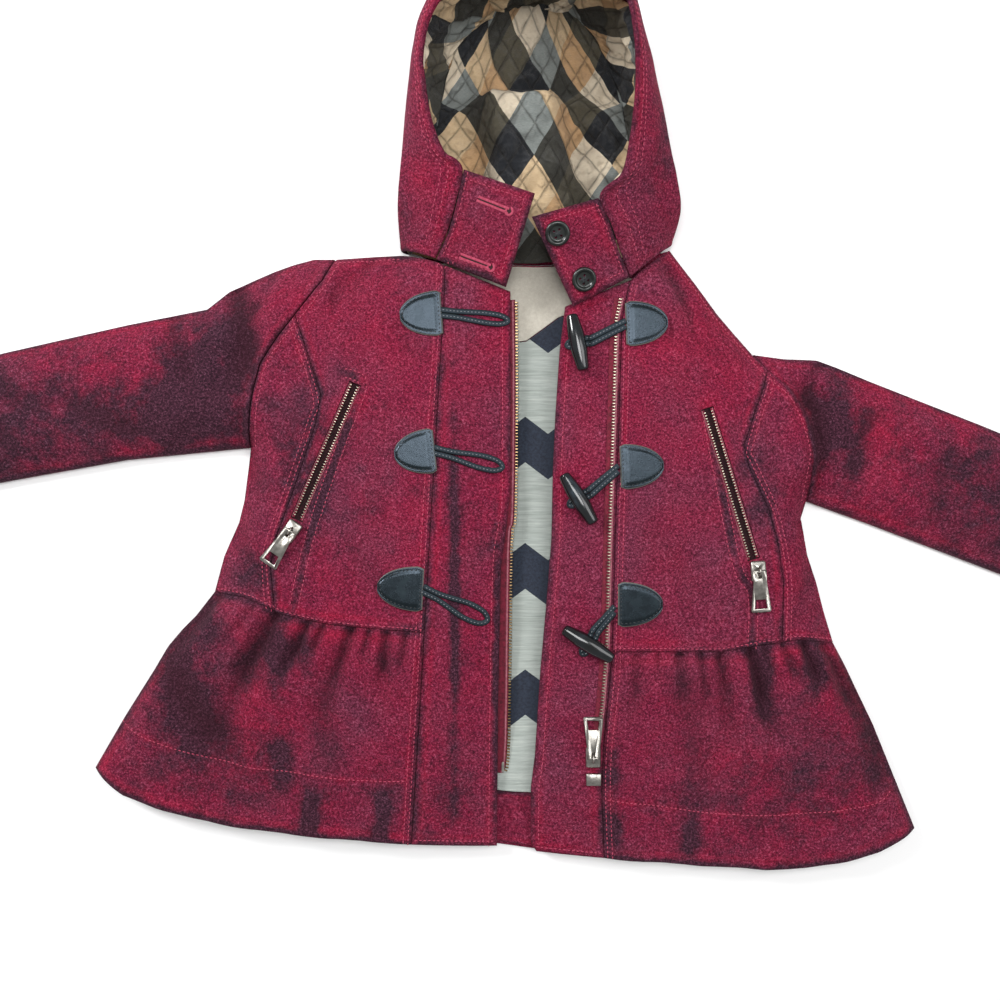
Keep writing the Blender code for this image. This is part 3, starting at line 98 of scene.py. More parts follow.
# ---- each side's seam lines, and which way is out. The sleeve's two folded edges run from the body to the
# cuff, hem_stitches is the hem's row of stitching, from the side to the front, and pocket_border the second
# border of the pocket's strip.
# sleeve_level is the sleeve's height at the body, lower on the left where it lies under the rolled armhole.
# tab_end has the bottom and top corners (x, y, z) of the chin tab's free end. Gathers are the place at the
# waist and the height of each puff. Troughs are place, depth, half width, reach down the peplum and lean.
PLAN = {
    "right": SimpleNamespace(
        out=-1, seed=10.0, sleeve_level=22.0,
        shoulder=((-91, 182), (-112, 181), (-141, 179)),
        upper=((-141, 179), (-148, 161), (-157, 149), (-168, 135)),
        lower=((-168, 135), (-179, 121), (-194, 100), (-198, 82), (-203, 49), (-204, 39)),
        seam=((-204, 39), (-206, 22), (-209, -1), (-213, -17), (-224, -42), (-231, -68)),
        peplum=((-231, -68), (-245, -86), (-255, -96), (-266, -109), (-276, -126), (-298, -161),
            (-320, -199)),
        hem=((-320, -199), (-296, -217), (-272, -226), (-244, -234), (-215, -240), (-187, -244),
            (-145, -249), (-102, -252), (-84, -254)),
        waist_side=((-231, -68), (-205, -71), (-183, -81)),
        waist_front=((-183, -81), (-176, -84), (-143, -91), (-100, -95), (-74, -97)),
        princess=((-168, 135), (-149, 77), (-153, 55), (-168, 10), (-181, -25), (-186, -48), (-183, -81)),
        neck=((-59, 171), (-66, 174), (-91, 182)),
        band_neck=((-11, 153), (-59, 171)),
        band_seam=((-59, 171), (-59, 154), (-70, -29), (-74, -97), (-84, -254)),
        band_edge=((-11, 153), (-11, 10), (-14, -20), (-18, -50), (-20, -147), (-21, -256)),
        band_hem=((-84, -254), (-21, -256)),
        sleeve_top=((-141, 179), (-156, 179), (-171, 175), (-185, 170), (-219, 155), (-235, 142),
            (-296, 130), (-380, 111), (-478, 88)),
        sleeve_under=((-204, 39), (-296, 30), (-380, 15), (-488, -6)),
        tab_end=((-14.4, 153.8, 29), (5.7, 214.5, 51)),
        hem_stitches=((-306, -158), (-288, -170), (-262, -180), (-234, -188), (-212, -193), (-200, -196),
            (-173, -199), (-130, -205), (-88, -206)),
        pocket_border=((-134, 92), (-126, 91), (-119, 82), (-136, 36), (-157, -26), (-169, -78)),
        gathers=((-217, 2.6), (-205, 3.0), (-192, 3.6), (-178, 3.0), (-165, 3.8), (-152, 3.0), (-141, 3.6),
            (-128, 4.2), (-115, 3.0), (-103, 3.4), (-91, 2.6)),
        troughs=((-226, 4.6, 6.5, 0.50, 0), (-197, 2.6, 2.8, 0.20, 0), (-180, 7.6, 6.0, 0.62, 0),
            (-157, 5.6, 4.0, 0.30, 0), (-146, 4.2, 2.6, 0.16, 0), (-126, 6.2, 4.4, 0.50, 6),
            (-113, 4.2, 2.6, 0.18, 0), (-101, 5.4, 3.8, 0.34, -14), (-87, 3.6, 3.0, 0.22, 0)),
    ),
    "left": SimpleNamespace(
        out=1, seed=20.0, sleeve_level=15.0,
        shoulder=((107.3, 185.9), (113, 178), (127, 160), (143, 138), (154, 125), (169, 108)),
        upper=((169, 108), (177, 95)),
        lower=((177, 95), (191, 81), (201, 68), (207, 51), (211, 36), (210, 22), (209, -1)),
        seam=((209, -1), (204, -17), (207, -25), (210, -42), (216, -60), (222, -83), (229, -106)),
        peplum=((229, -106), (238, -123), (247, -142), (259, -167), (290, -244)),
        hem=((290, -244), (259, -260), (236, -266), (206, -271), (176, -272), (145, -270), (116, -268),
            (86, -266), (58, -264)),
        waist_side=((229, -106), (200, -102), (187, -104)),
        waist_front=((187, -104), (171, -106), (142, -111), (105, -111), (63, -111)),
        princess=((177, 95), (159, 40), (162, 25), (178, -9), (184, -31), (188, -60), (187, -104)),
        neck=((76, 160), (85, 168), (95, 176), (107.3, 185.9)),
        band_neck=((29, 142), (76, 160)),
        band_seam=((76, 160), (70, 131), (68, 64), (65, -29), (63, -111), (60, -150), (57, -180),
            (56, -213), (58, -264)),
        band_edge=((29, 142), (25, 109), (22, 64), (20, 19), (19, -29), (16, -68), (11, -125), (7, -189),
            (4, -213), (4, -253), (8, -260)),
        band_hem=((58, -264), (8, -260)),
        sleeve_top=((169, 108), (191, 105), (216, 104), (232, 98), (256, 88), (340, 55), (499, -11)),
        sleeve_under=((209, -1), (256, -18), (340, -50), (465, -97)),
        tab_end=((34.3, 140.4, 26), (3.7, 199.6, 46)),
        hem_stitches=((271, -213), (257, -223), (224, -228), (185, -231), (154, -231), (131, -229),
            (94, -224), (60, -220)),
        pocket_border=((132, 64), (137, 34), (154, -48), (165, -68), (165, -109)),
        gathers=((82, 2.4), (98, 3.2), (112, 3.0), (127, 4.0), (143, 3.6), (159, 3.2), (172, 3.8),
            (184, 2.8), (195, 3.2), (208, 2.4)),
        troughs=((82, 3.8, 5.0, 0.42, 0), (97, 3.2, 2.8, 0.18, 0), (112, 5.6, 4.6, 0.34, 0),
            (127, 4.8, 3.2, 0.34, 0), (141, 5.8, 4.2, 0.52, 4), (163, 7.4, 4.4, 0.42, 0),
            (174, 4.4, 2.6, 0.16, 0), (187, 4.6, 3.0, 0.20, 0), (202, 5.6, 4.6, 0.30, 0),
            (219, 4.4, 5.0, 0.44, 0)),
    ),
}

# ---- back neck, from the wearer's right to left
BACK_NECK = ((-91, 182), (-70, 178.5), (-30, 176), (8, 175), (50, 176.5), (85, 181), (107.3, 185.9))

# ---- soft folds pressed into the front and the sleeves: from, to, half width, height
FOLD_BEYOND = 0.35      # a fold runs on past both ends by this share of its length
FOLD_FADE = 0.45        # and fades over this share
SOFT_FOLDS = (
    (-125, 163, -137, 140, 6, -2.4), (-108, 172, -124, 146, 7, -2.0), (-117, 168, -131, 143, 6, 1.4),
    (-232, 143, -190, 92, 13, -3.4), (-275, 122, -250, 60, 18, 2.0), (-340, 100, -330, 40, 16, -1.8),
    (-420, 85, -405, 20, 16, -1.6), (95, 164, 106, 145, 6, 2.2), (103, 172, 99, 150, 5, -1.8),
    (150, 108, 188, 72, 11, 2.6), (188, 72, 200, 22, 11, 2.6), (214, 100, 199, 66, 8, -2.2),
    (300, 62, 285, -20, 16, -1.8), (400, 20, 388, -55, 16, 1.8), (-185, 60, -205, -30, 14, 1.4),
    (196, 40, 200, -60, 12, 1.2),
)

# ---- creases: from, to, depth, half width and how far the middle bows
CREASES = (
    (-128, 168, -139, 145, 2.6, 4.5, 1), (-112, 178, -127, 148, 2.2, 4.0, 2),
    (-212, 152, -206, 96, 4.2, 12, -3), (-185, 168, -196, 140, 2.0, 5, 0), (-262, 132, -246, 92, 2.0, 8, 0),
    (-330, 70, -290, 52, 2.2, 9, 2), (-398, 92, -360, 70, 1.8, 8, 1), (-430, 60, -380, 44, 1.6, 7, -2),
    (206, 78, 218, 30, 3.6, 9, -3), (219, 104, 208, 76, 2.4, 4.5, 1), (252, 62, 240, 22, 2.2, 8, 2),
    (310, 30, 300, -12, 2.0, 9, 1), (380, 8, 350, -30, 1.8, 8, -2), (440, -40, 400, -58, 1.6, 7, 1),
    (104, 170, 122, 128, 2.2, 5, -2), (96, 128, 140, 106, 1.2, 7, 1), (-96, 128, -70, 100, 0.9, 7, 1),
    (-120, -40, -92, -80, 1.0, 9, 2), (95, -20, 130, -70, 1.0, 10, 2), (-210, 60, -196, 10, 1.4, 8, 2),
    (205, 30, 214, -30, 1.4, 8, -2), (-215, -20, -190, -55, 1.3, 7, 1), (215, -50, 196, -88, 1.3, 7, 1),
    (-255, -132, -222, -178, 3.4, 15, 3), (238, -130, 262, -200, 3.0, 13, -3),
    (-150, -150, -142, -195, 1.8, 12, 0), (120, -150, 128, -205, 1.8, 13, 2),
)

# ---- gathers of the peplum
GATHER_START = 0.09     # share of the peplum's length over which a gather swells below the seam
GATHER_REACH = 0.55     # and over which it has mostly opened out
GATHER_LEFT_AT_HEM = 0.16
HEM_WAVES = 4.5         # broad waves that reach the hem
HEM_WAVE_HEIGHT = 1.8
PUFF_HEIGHT = 6.0       # the cloth's own puffs between the troughs
TROUGH_SHARE = 1.15     # how much of a trough's stated depth is cut into them

# ---- hood: profiles of its wall, from the right chin round the crown to the left chin.
# rim is the free edge, wide the point that shows furthest out, foot where the wall meets the table.
Profile = namedtuple("Profile", "rim_x rim_y rim_z wide_x wide_y wide_z foot_x foot_y")
HOOD_PROFILES = [Profile(*row) for row in (
    (-66, 174.8, 25, -92, 183.8, 9, -86, 183.6), (-57, 191, 34, -93, 203, 20, -80, 204),
    (-50.5, 209, 44, -92, 219, 29, -74, 222), (-45, 231, 52, -90, 236, 35, -70, 240),
    (-57, 239, 57, -88, 251, 39, -68, 256), (-66, 258, 66, -86, 269, 43, -66, 274),
    (-70.5, 281, 75, -83, 292, 48, -62, 297), (-72, 296, 80, -80, 311, 52, -58, 316),
    (-68, 315, 86, -75, 330, 57, -52, 334), (-60, 329, 90, -65, 348, 62, -42, 350),
    (-44, 345, 94, -47, 365, 66, -28, 362), (-19, 355, 97, -21, 378, 70, -10, 369),
    (4, 357, 98, 5, 381, 71, 5, 370), (27, 355, 97, 30, 378, 70, 20, 369),
    (52, 345, 94, 56, 365, 66, 38, 361), (67, 329, 90, 72, 348, 62, 51, 349),
    (72, 308, 86, 80, 327, 57, 59, 333), (73.5, 293, 80, 87, 309, 52, 66, 315),
    (73.5, 272, 75, 92, 290, 48, 71, 295), (70, 242, 66, 99, 264, 43, 77, 269),
    (64.5, 222, 60, 104, 246, 39, 82, 251), (51, 211, 52, 108, 230, 35, 85, 236),
    (60, 194, 45, 111, 215, 29, 89, 220), (67, 178.5, 36, 112, 203, 20, 96, 207),
    (76, 161.4, 27, 108.5, 188.4, 9, 104, 187.4),
)]
LAST_PROFILE = len(HOOD_PROFILES) - 1
HOOD_WALL_BULGE = 5.0        # outward swell between rim and widest point
HOOD_MIDDLE = Vector((8, 268, 45))
HOOD_NECK_GAP = 0.6
HOOD_FLOOR_GAP = 2.0         # between the flat back of the hood and the foot of its wall
HOOD_LINING_GAP = 1.0
HOOD_LAP = 0.02              # how far neighbouring walls run into each other, in profiles
NAPE_MIDDLE, NAPE_REACH = (5, 262), (92.0, 118.0)    # the back lining's wadding, flat beyond this reach
CENTRE_FIRST, CENTRE_LAST = 10.5, 13.5   # the centre gusset crosses the crown between these profiles
NAPE_FOLD_HEIGHT = 27.0      # the back lining stands up in a fold inside the nape
NAPE_FOLD_CREST = 289.0
NAPE_FOLD_END = 313.0
NAPE_FOLD_HALF = 34.0
NAPE_FOLD_X = -3.0
FACING_AT_CHIN, FACING_AT_CROWN = 0.10, 0.26   # share of rim to widest point left bare inside

# ---- chin tabs, their buttons, and the bar and eye of each keyhole buttonhole
TAB_SEAM = 0.9          # the tabs stand this clear of the hood's front edges
BUTTONS = ((21.9, 188.5), (41.3, 158.7))
BUTTON_RADIUS = 8.8
BUTTON_HOLE_RADIUS = 1.0
BUTTON_HOLE_OFFSET = 2.0
BUTTON_LIFT = 0.7
SLOT_HALF, EYE_RADIUS = 1.3, 2.4
BUTTONHOLES = (((-34.0, 211.5), (-13.5, 203.6)), ((-47.0, 175.5), (-26.5, 167.5)))

# ---- leather: D-shaped patches, (x, y) of the straight edge's middle and which way the nose points
PATCH_WIDTH = 33.0
PATCH_REACH = 0.985     # the patch's mesh stops this share of the way to its tip
PATCH_STITCH = 2.6      # the stitching lies this far inside its edge
PATCH_PAD = 0.55        # how far its middle swells, and how deep the stitching pulls it in
PATCH_TRENCH = 0.45
Patch = namedtuple("Patch", "x y length turn")
PATCHES = {
    "right_1": Patch(-61.0, 136, 31, 180 + 4),
    "right_2": Patch(-66.0, 36, 30, 180 + 6),
    "right_3": Patch(-74.5, -65, 34, 180 - 3),
    "left_1": Patch(72.5, 128, 31, 2),
    "left_2": Patch(68.5, 24, 32, 2),
    "left_3": Patch(67.0, -76, 33, 0),
}
STRAP_WIDE, STRAP_THICK = 4.1, 2.0
STRAP_START = 0.5       # a doubled strap is drawn from this far outside the patch that holds it
STRAP_HALF = 3.8        # half its width there
Loop = namedtuple("Loop", "far_x far_y spread")
LOOPS = {
    "right_1": Loop(-13, 131, 5.0),
    "right_2": Loop(-17, 24, 9.0),
    "right_3": Loop(-28, -88, 11.0),
}

# ---- toggles: middle of each and its heading in the plan, in degrees
TOGGLE_LENGTH = 42.0
TOGGLE_BELLY = 6.2
TOGGLE_END = 4.0
TOGGLE_LIFT = 6.5
CORD_LIFT = 1.5      # clears the zip tape that the cord crosses
Toggle = namedtuple("Toggle", "x y turn")
TOGGLES = {
    "left_1": Toggle(38.5, 114, -78),
    "left_2": Toggle(39.0, 1, -58),
    "left_3": Toggle(45.5, -104, -31),
}

# ---- main zip
ZIP_RIGHT_EDGE = ((-7.5, 148), (-7, 74), (-8, -11), (-11, -35), (-13, -178), (-16, -203))
ZIP_RIGHT_WIDTH = 12.0
ZIP_RIGHT_DROP = 1.0     # below the band it is sewn under
ZIP_LEFT_WIDTH = 7.0
ZIP_LEFT_END, ZIP_LEFT_TOP = -178.0, 147.0
ZIP_PIN = (-16.5, -198.5)

# ---- pocket zips: upper and lower end of each slit
POCKET_SLIT = 9.6
POCKET_TAPE = 2.2
POCKETS = {"right": ((-124, 85), (-167, -14.5)), "left": ((132, 67), (166.2, -43.5))}
POCKET_TAPE_DEPTH = 1.4      # tapes lie this far below the face of the wool
POCKET_BAG_MARGIN = 16.0
SLIDER_EDGE, PULL_EDGE = 0.3, 0.22     # bevels of the metal parts
TAPE_EDGE_RISE = 0.3         # the pink woven edge stands up by this much

# ---- zip teeth: pitch, and size across, along and up
ZIP_PITCH, POCKET_PITCH = 2.3, 2.1
TOOTH_RIGHT, TOOTH_LEFT, TOOTH_POCKET = (2.6, 1.1, 2.0), (2.8, 1.1, 2.0), (1.9, 1.0, 1.8)
TOOTH_RINGS = ((-0.5, 1.0), (0.2, 1.0), (0.5, 0.62))   # height and narrowing of each

# ---- inside of the back, seen through the open front, (x, y)
COAT_MIDDLE = Vector((0.0, -40.0))
LINING_MARGIN = 12.0     # from the folded sides of the coat
OPEN_MIDDLE, OPEN_HALF = 2.0, 26.0     # the strip that shows between the fronts
LINING_HEM = ((-245, -160), (-150, -205), (-20, -216), (5, -218), (110, -225), (225, -190))
YOKE_SEAM = ((-150, 100), (1, 118), (27, 137), (140, 105))
YOKE_LEFT_END = ((126, 131), (94, 157))
YOKE_RIGHT_END = ((-90, 172), (-133, 165))
YOKE_CORNER = (80, 165)  # tucked under the front beside the neck
YOKE_MARGIN = 1.5        # below the back neck seam
FACING_HEM = ((220, -262), (176, -268), (58, -260), (8, -258), (-21, -254), (-84, -250),
              (-187, -240), (-250, -226))

# ---- patterns
QUILTING = (26.0, 34.0)      # half steps of the quilting
MOTIF = (46.0, 62.0)         # half steps of the printed diamonds
ZIGZAG_AT = 0.045            # middle of one zigzag band of the body lining, in metres
ZIGZAG_PITCH, ZIGZAG_WIDE = 0.094, 0.034
ZIGZAG_HALF, ZIGZAG_SLOPE = 0.017, 0.75

# ---- where the felt shows darker or brighter red: middle, reach across and up, strength
# Dark areas: partly the felt's own charcoal blotches, partly painted shade in folds and between gathers.
DARK_AND_SHADED_AREAS = (
    (-430, 50, 70, 60, 0.75), (-330, 60, 50, 60, 0.45), (-250, 95, 40, 50, 0.35), (430, -30, 70, 60, 0.75),
    (330, 10, 50, 55, 0.5), (250, 45, 40, 45, 0.3), (-250, -185, 70, 45, 0.35), (-150, -215, 80, 35, 0.32),
    (-200, -120, 60, 30, 0.2), (230, -205, 60, 55, 0.45), (130, -225, 70, 40, 0.32),
    (180, -150, 50, 40, 0.15), (-165, 40, 26, 60, 0.45), (165, 10, 26, 60, 0.45), (-60, -225, 30, 35, 0.3),
    (-93, 205, 10, 40, 0.4), (100, 250, 20, 50, 0.4), (90, 330, 30, 30, 0.3), (-225, 110, 30, 45, 0.5),
    (-250, 60, 40, 24, 0.75), (225, 60, 18, 50, 0.6), (-95, 0, 45, 120, 0.2), (-40, -60, 26, 150, 0.2),
    (-150, 0, 30, 60, 0.2), (-158, -232, 7, 22, 0.8), (-105, -235, 7, 22, 0.7), (-180, -186, 9, 18, 0.6),
    (-180, -108, 9, 26, 0.7), (-160, -110, 6, 18, 0.6), (-230, -92, 16, 22, 0.5), (-250, -140, 24, 50, 0.5),
    (-200, -55, 18, 15, 0.7), (65, -246, 8, 18, 0.7), (120, -246, 9, 18, 0.6), (64, -200, 6, 28, 0.6),
    (173, -125, 8, 26, 0.7), (208, -122, 12, 20, 0.6), (-52, -70, 4, 130, 0.7), (-22, -90, 4, 110, 0.4),
)
WARM_AREAS = (
    (-115, 130, 50, 50, 0.5), (-100, 0, 35, 80, 0.35), (110, 110, 50, 50, 0.5), (105, -20, 35, 80, 0.35),
    (-40, 120, 30, 60, 0.4), (40, 60, 20, 100, 0.35), (-10, 180, 60, 40, 0.4), (-200, 150, 40, 25, 0.3),
    (-150, -95, 90, 14, 0.4), (150, -112, 90, 14, 0.4), (-76, 232, 9, 40, 0.8), (262, 40, 20, 30, 0.8),
    (-290, 60, 30, 24, 0.5), (-200, -150, 16, 50, 0.5), (150, -190, 30, 24, 0.5),
)

# ---- camera and lights: place, size, power
CAMERA_PLACE = (-0.01875, 0.0, 0.72917)
LENS, SENSOR_WIDTH = 35.0, 36.0
LIGHTS = {
    "key": ((-1.15, 0.75, 0.85), 0.45, 17.0),
    "window": ((-0.03, 0.27, 1.28), 0.62, 9.0),
    "fill": ((0.9, 0.2, 1.2), 1.0, 9.0),
}
AMBIENT = 0.37
FLOOR_REACH, FLOOR_LEVEL = 4.0, -0.0003

made_pieces = {}
strap_lines = {}


def clamp(value, low=0.0, high=1.0):
    return min(max(value, low), high)


def rise(share):
    """0 at a folded edge, 1 and level from a full width inwards."""
    return 1.0 - (1.0 - clamp(share)) ** 2


def smooth(share):
    share = clamp(share)
    return share * share * (3.0 - 2.0 * share)


def mix(a, b, share):
    return a + (b - a) * share


def read(rows, key):
    """Linear value of a two-column table, held level past its ends."""
    rows = sorted(rows)
    keys = [row[0] for row in rows]
    if key <= keys[0]:
        return rows[0][1]
    if key >= keys[-1]:
        return rows[-1][1]
    i = bisect_right(keys, key) - 1
    return mix(rows[i][1], rows[i + 1][1], (key - keys[i]) / (keys[i + 1] - keys[i]))


def x_on(line, y):
    """Where a line that runs down the coat crosses a level."""
    return read([(point[1], point[0]) for point in line], y)


def along(line, count):
    """Points at equal steps along a line, with the nearest one pulled onto each sharp corner."""
    points = [Vector(point) for point in line]
    lengths = [0.0]
    for a, b in zip(points, points[1:]):
        lengths.append(lengths[-1] + (b - a).length)
    result = []
    for step in range(count + 1):
        target = lengths[-1] * step / count
        i = min(bisect_right(lengths, target) - 1, len(points) - 2)
        result.append(points[i].lerp(points[i + 1], (target - lengths[i]) / (lengths[i + 1] - lengths[i])))
    for i in range(1, len(points) - 1):
        if (points[i] - points[i - 1]).angle(points[i + 1] - points[i]) > radians(SHARP_CORNER):
            step = round(lengths[i] / lengths[-1] * count)
            if 0 < step < count:
                result[step] = points[i].copy()
    return result


def shifted(line, x=0.0, y=0.0):
    return [(point[0] + x, point[1] + y) + tuple(point[2:]) for point in line]


def chain(*lines):
    """Lines that follow on from each other, as one."""
    result = list(lines[0])
    for line in lines[1:]:
        result += list(line)[1:]
    return result


def distance_to(lines, x, y):
    best = 1e9
    for line in lines:
        for (x1, y1), (x2, y2) in zip(line, line[1:]):
            dx, dy = x2 - x1, y2 - y1
            t = clamp(((x - x1) * dx + (y - y1) * dy) / (dx * dx + dy * dy))
            best = min(best, hypot(x - x1 - t * dx, y - y1 - t * dy))
    return best


for lines in PLAN.values():
    lines.waist = chain(lines.waist_side, lines.waist_front)
BODY_FOLDS = [line for lines in PLAN.values() for line in (lines.shoulder, lines.seam, lines.peplum)]


def heading(start, end):
    """Unit vectors from one place of the plan to another, and to the left of that."""
    ahead = (end - start).normalized()
    return ahead, Vector((-ahead.y, ahead.x))


def neighbours(points, i):
    """The points before and after one of a line, or itself at an end."""
    return points[max(i - 1, 0)], points[min(i + 1, len(points) - 1)]


def beside(x1, y1, x2, y2, x, y):
    """How far along a segment a point is, as a share, and how far it is off its line."""
    run_x, run_y = x2 - x1, y2 - y1
    length = hypot(run_x, run_y)
    return (((x - x1) * run_x + (y - y1) * run_y) / length ** 2,
            ((x - x1) * run_y - (y - y1) * run_x) / length)


def soft_folds(x, y):
    """Height that the pressed-in folds add at a point."""
    total = 0.0
    for *segment, half, height in SOFT_FOLDS:
        share, off = beside(*segment, x, y)
        last = 1.0 + FOLD_BEYOND
        if -FOLD_BEYOND < share < last:
            fade = smooth((share + FOLD_BEYOND) / FOLD_FADE) * smooth((last - share) / FOLD_FADE)
            total += height * fade * exp(-((off / half) ** 2))
    return total


def creases(x, y):
    """Depth of the main creases at a point."""
    total = 0.0
    for *segment, deep, wide, bow in CREASES:
        share, off = beside(*segment, x, y)
        off -= bow * (1.0 - (2 * share - 1.0) ** 2)
        if -0.6 <= share <= 1.6 and abs(off) <= wide * 3:
            end = smooth(1.0 - abs(share - clamp(share, 0.15, 0.85)) / 0.6)
            ridges = 0.35 * exp(-((abs(off) - 2.1 * wide) / wide) ** 2)
            total += deep * end * (exp(-(off / wide) ** 2) - ridges)
    return total


def front_top(x, y):
    """Height of the upper face of the coat's front over the table."""
    closed = rise(distance_to(BODY_FOLDS, x, y) / FOLD_ROUNDING)
    level = read(FRONT_LEVELS, y)
    lines = PLAN["right" if x < 0 else "left"]
    inset = lines.out * (x - x_on(lines.band_edge, y))
    opening = OPENING_SHARE * level * (1.0 - rise(inset / OPENING_SLOPE))
    return FOLD_TOP + (level - opening - FOLD_TOP) * closed + soft_folds(x, y) * closed


def sleeve_top(lines, x, y):
    """Height of the upper face of a sleeve over the table."""
    closed = rise(distance_to((lines.sleeve_top, lines.sleeve_under), x, y) / FOLD_ROUNDING)
    out = abs(x - lines.sleeve_top[0][0]) / SLEEVE_RISE
    level = mix(lines.sleeve_level, SLEEVE_TOP_AT_CUFF, smooth(out))
    return FOLD_TOP + (level - FOLD_TOP) * closed + soft_folds(x, y) * closed


def read_along(points, share):
    """Point at a share of the way through evenly spaced points."""
    place = clamp(share) * (len(points) - 1)
    i = min(int(place), len(points) - 2)
    return points[i].lerp(points[i + 1], place - i)


def coons(side, centre, bottom, top, columns, rows, inset=SEAM / 2):
    """A surface through four edge lines, drawn in a little from each for the seams.

    The side and centre lines run up the coat, the bottom and top lines from side to centre.
    """
    side, centre = along(side, rows), along(centre, rows)
    bottom, top = along(bottom, columns), along(top, columns)

    def whole(u, v):
        across = read_along(side, v).lerp(read_along(centre, v), u)
        up = read_along(bottom, u).lerp(read_along(top, u), v)
        corners = side[0].lerp(centre[0], u).lerp(side[-1].lerp(centre[-1], u), v)
        return across + up - corners

    def at(u, v):
        width = whole(1, v) - whole(0, v)
        height = whole(u, 1) - whole(u, 0)
        drawn = width.normalized() * (1 - 2 * u) + height.normalized() * (1 - 2 * v)
        return whole(u, v) + drawn * inset

    return at


def drawn_in(line, amount, middle):
    """Points of an outline pulled towards a middle."""
    result = []
    for point in line:
        away = Vector(point) - middle
        result.append(tuple(middle + away * (1.0 - amount / away.length)))
    return result


def gather_height(lines, u, v):
    """Puffs that hang from the waist seam: v is 1 there and 0 at the hem."""
    start, span = lines.waist[0][0], lines.waist[-1][0] - lines.waist[0][0]
    puffs = sorted(((x - start) / span, height) for x, height in lines.gathers)
    down = 1.0 - v
    swell = smooth(down / GATHER_START) * mix(1.0, GATHER_LEFT_AT_HEM, smooth(down / GATHER_REACH))
    before = [puff for puff in puffs if puff[0] <= u]
    after = [puff for puff in puffs if puff[0] > u]
    if before and after:
        (u1, height1), (u2, height2) = before[-1], after[0]
        phase = (u - u1) / (u2 - u1)
        height = mix(height1, height2, phase)
    elif after:
        phase, height = 1.0 - u / after[0][0], after[0][1]
    else:
        phase, height = (u - before[-1][0]) / (1.0 - before[-1][0]), before[-1][1]
    puff = height * swell * (0.5 + 0.5 * cos(2 * pi * phase))
    wave = HEM_WAVE_HEIGHT * smooth(down / 0.5) * sin(2 * pi * HEM_WAVES * u + 0.7)
    return (puff + wave) * rise(min(u, 1.0 - u) / 0.08)


def between(a, b, c, d, t):
    """On a smooth curve through four values, the place at t between the middle two."""
    return 0.5 * (2 * b + (c - a) * t + (2 * a - 5 * b + 4 * c - d) * t ** 2
                  + (3 * b - a - 3 * c + d) * t ** 3)


def hood_profile(place):
    """Profile at a fractional place in the table."""
    i = clamp(int(place), 0, LAST_PROFILE - 1)
    rows = [HOOD_PROFILES[clamp(i + step, 0, LAST_PROFILE)] for step in (-1, 0, 1, 2)]
    return Profile(*(between(*column, place - i) for column in zip(*rows)))


def hood_point(place, down):
    """Outer face of the hood's wall: down is 0 at the rim, 0.5 where it is widest, 1 at the foot."""
    row = hood_profile(place)
    rim = Vector((row.rim_x, row.rim_y, row.rim_z))
    wide = Vector((row.wide_x, row.wide_y, row.wide_z))
    if down <= 0.5:
        share = down / 0.5
        out = Vector((wide.x - rim.x, wide.y - rim.y, 0.0)).normalized()
        swell = (out + Vector((0, 0, 1))) * (HOOD_WALL_BULGE * 0.7 * sin(pi * share))
        return rim.lerp(wide, share) + swell
    angle = (down - 0.5) / 0.5 * pi / 2
    reach = cos(angle)
    return Vector((mix(row.foot_x, wide.x, reach), mix(row.foot_y, wide.y, reach),
                   wide.z * (1.0 - sin(angle))))


def facing_edge(place):
    """Where the lining starts below the rim: the wool facing above it widens round the crown."""
    half = LAST_PROFILE / 2
    near = 1.0 - abs(place - half) / half
    return mix(FACING_AT_CHIN, FACING_AT_CROWN, smooth(near)) / 2 + 0.45 * smooth((near - 0.5) / 0.3)


def tab_plan(side):
    """Middle surface of a chin tab, from the hood's front edge to the free end."""
    lines = PLAN[side]
    rows = HOOD_PROFILES[::-lines.out][:4]
    seam = [(row.rim_x - lines.out * TAB_SEAM, row.rim_y, row.rim_z) for row in rows]
    end = lines.tab_end
    return coons(seam, end, [seam[0], end[0]], [seam[-1], end[-1]], 6, 6, inset=0.0)


def tab_size(plan):
    return (plan(1, 0.5) - plan(0, 0.5)).length, (plan(0.5, 1) - plan(0.5, 0)).length


def strap_start(patch, ahead):
    """How far from the patch a strap is drawn, so that its corner just clears the patch."""
    turn = radians(patch.turn)
    square = -ahead.x * cos(turn) - ahead.y * sin(turn)
    return (STRAP_START + STRAP_HALF * sqrt(1.0 - square ** 2)) / square


def cut_line(line, low, high):
    """The stretch of a line that runs down the coat between two levels, going up."""
    inner = [point for point in line if low < point[1] < high]
    return [(x_on(line, low), low)] + inner[::-1] + [(x_on(line, high), high)]


# ---- cloth

def shares(length, step=STEP):
    """Steps along a panel, close together at both ends where its edge is rounded."""
    last = EDGE_STEPS[-1] / length
    count = max(2, round((length - 2 * EDGE_STEPS[-1]) / step))
    ends = [0.0] + [edge / length for edge in EDGE_STEPS]
    return ends + [mix(last, 1 - last, i / count) for i in range(1, count)] + [1 - end for end in ends[::-1]]


def ripple(x, y, size, seed=0.0):
    return noise.noise(Vector((x / size, y / size, seed)))


def wrinkles(x, y, seed=0.0):
    """Small unevenness of laid cloth, in millimetres."""
    broad = ripple(x, y, 41, seed) * 1.1
    return broad + ripple(x, y, 18, seed + 5) * 0.5 + ripple(x, y, 7.5, seed + 9) * 0.16


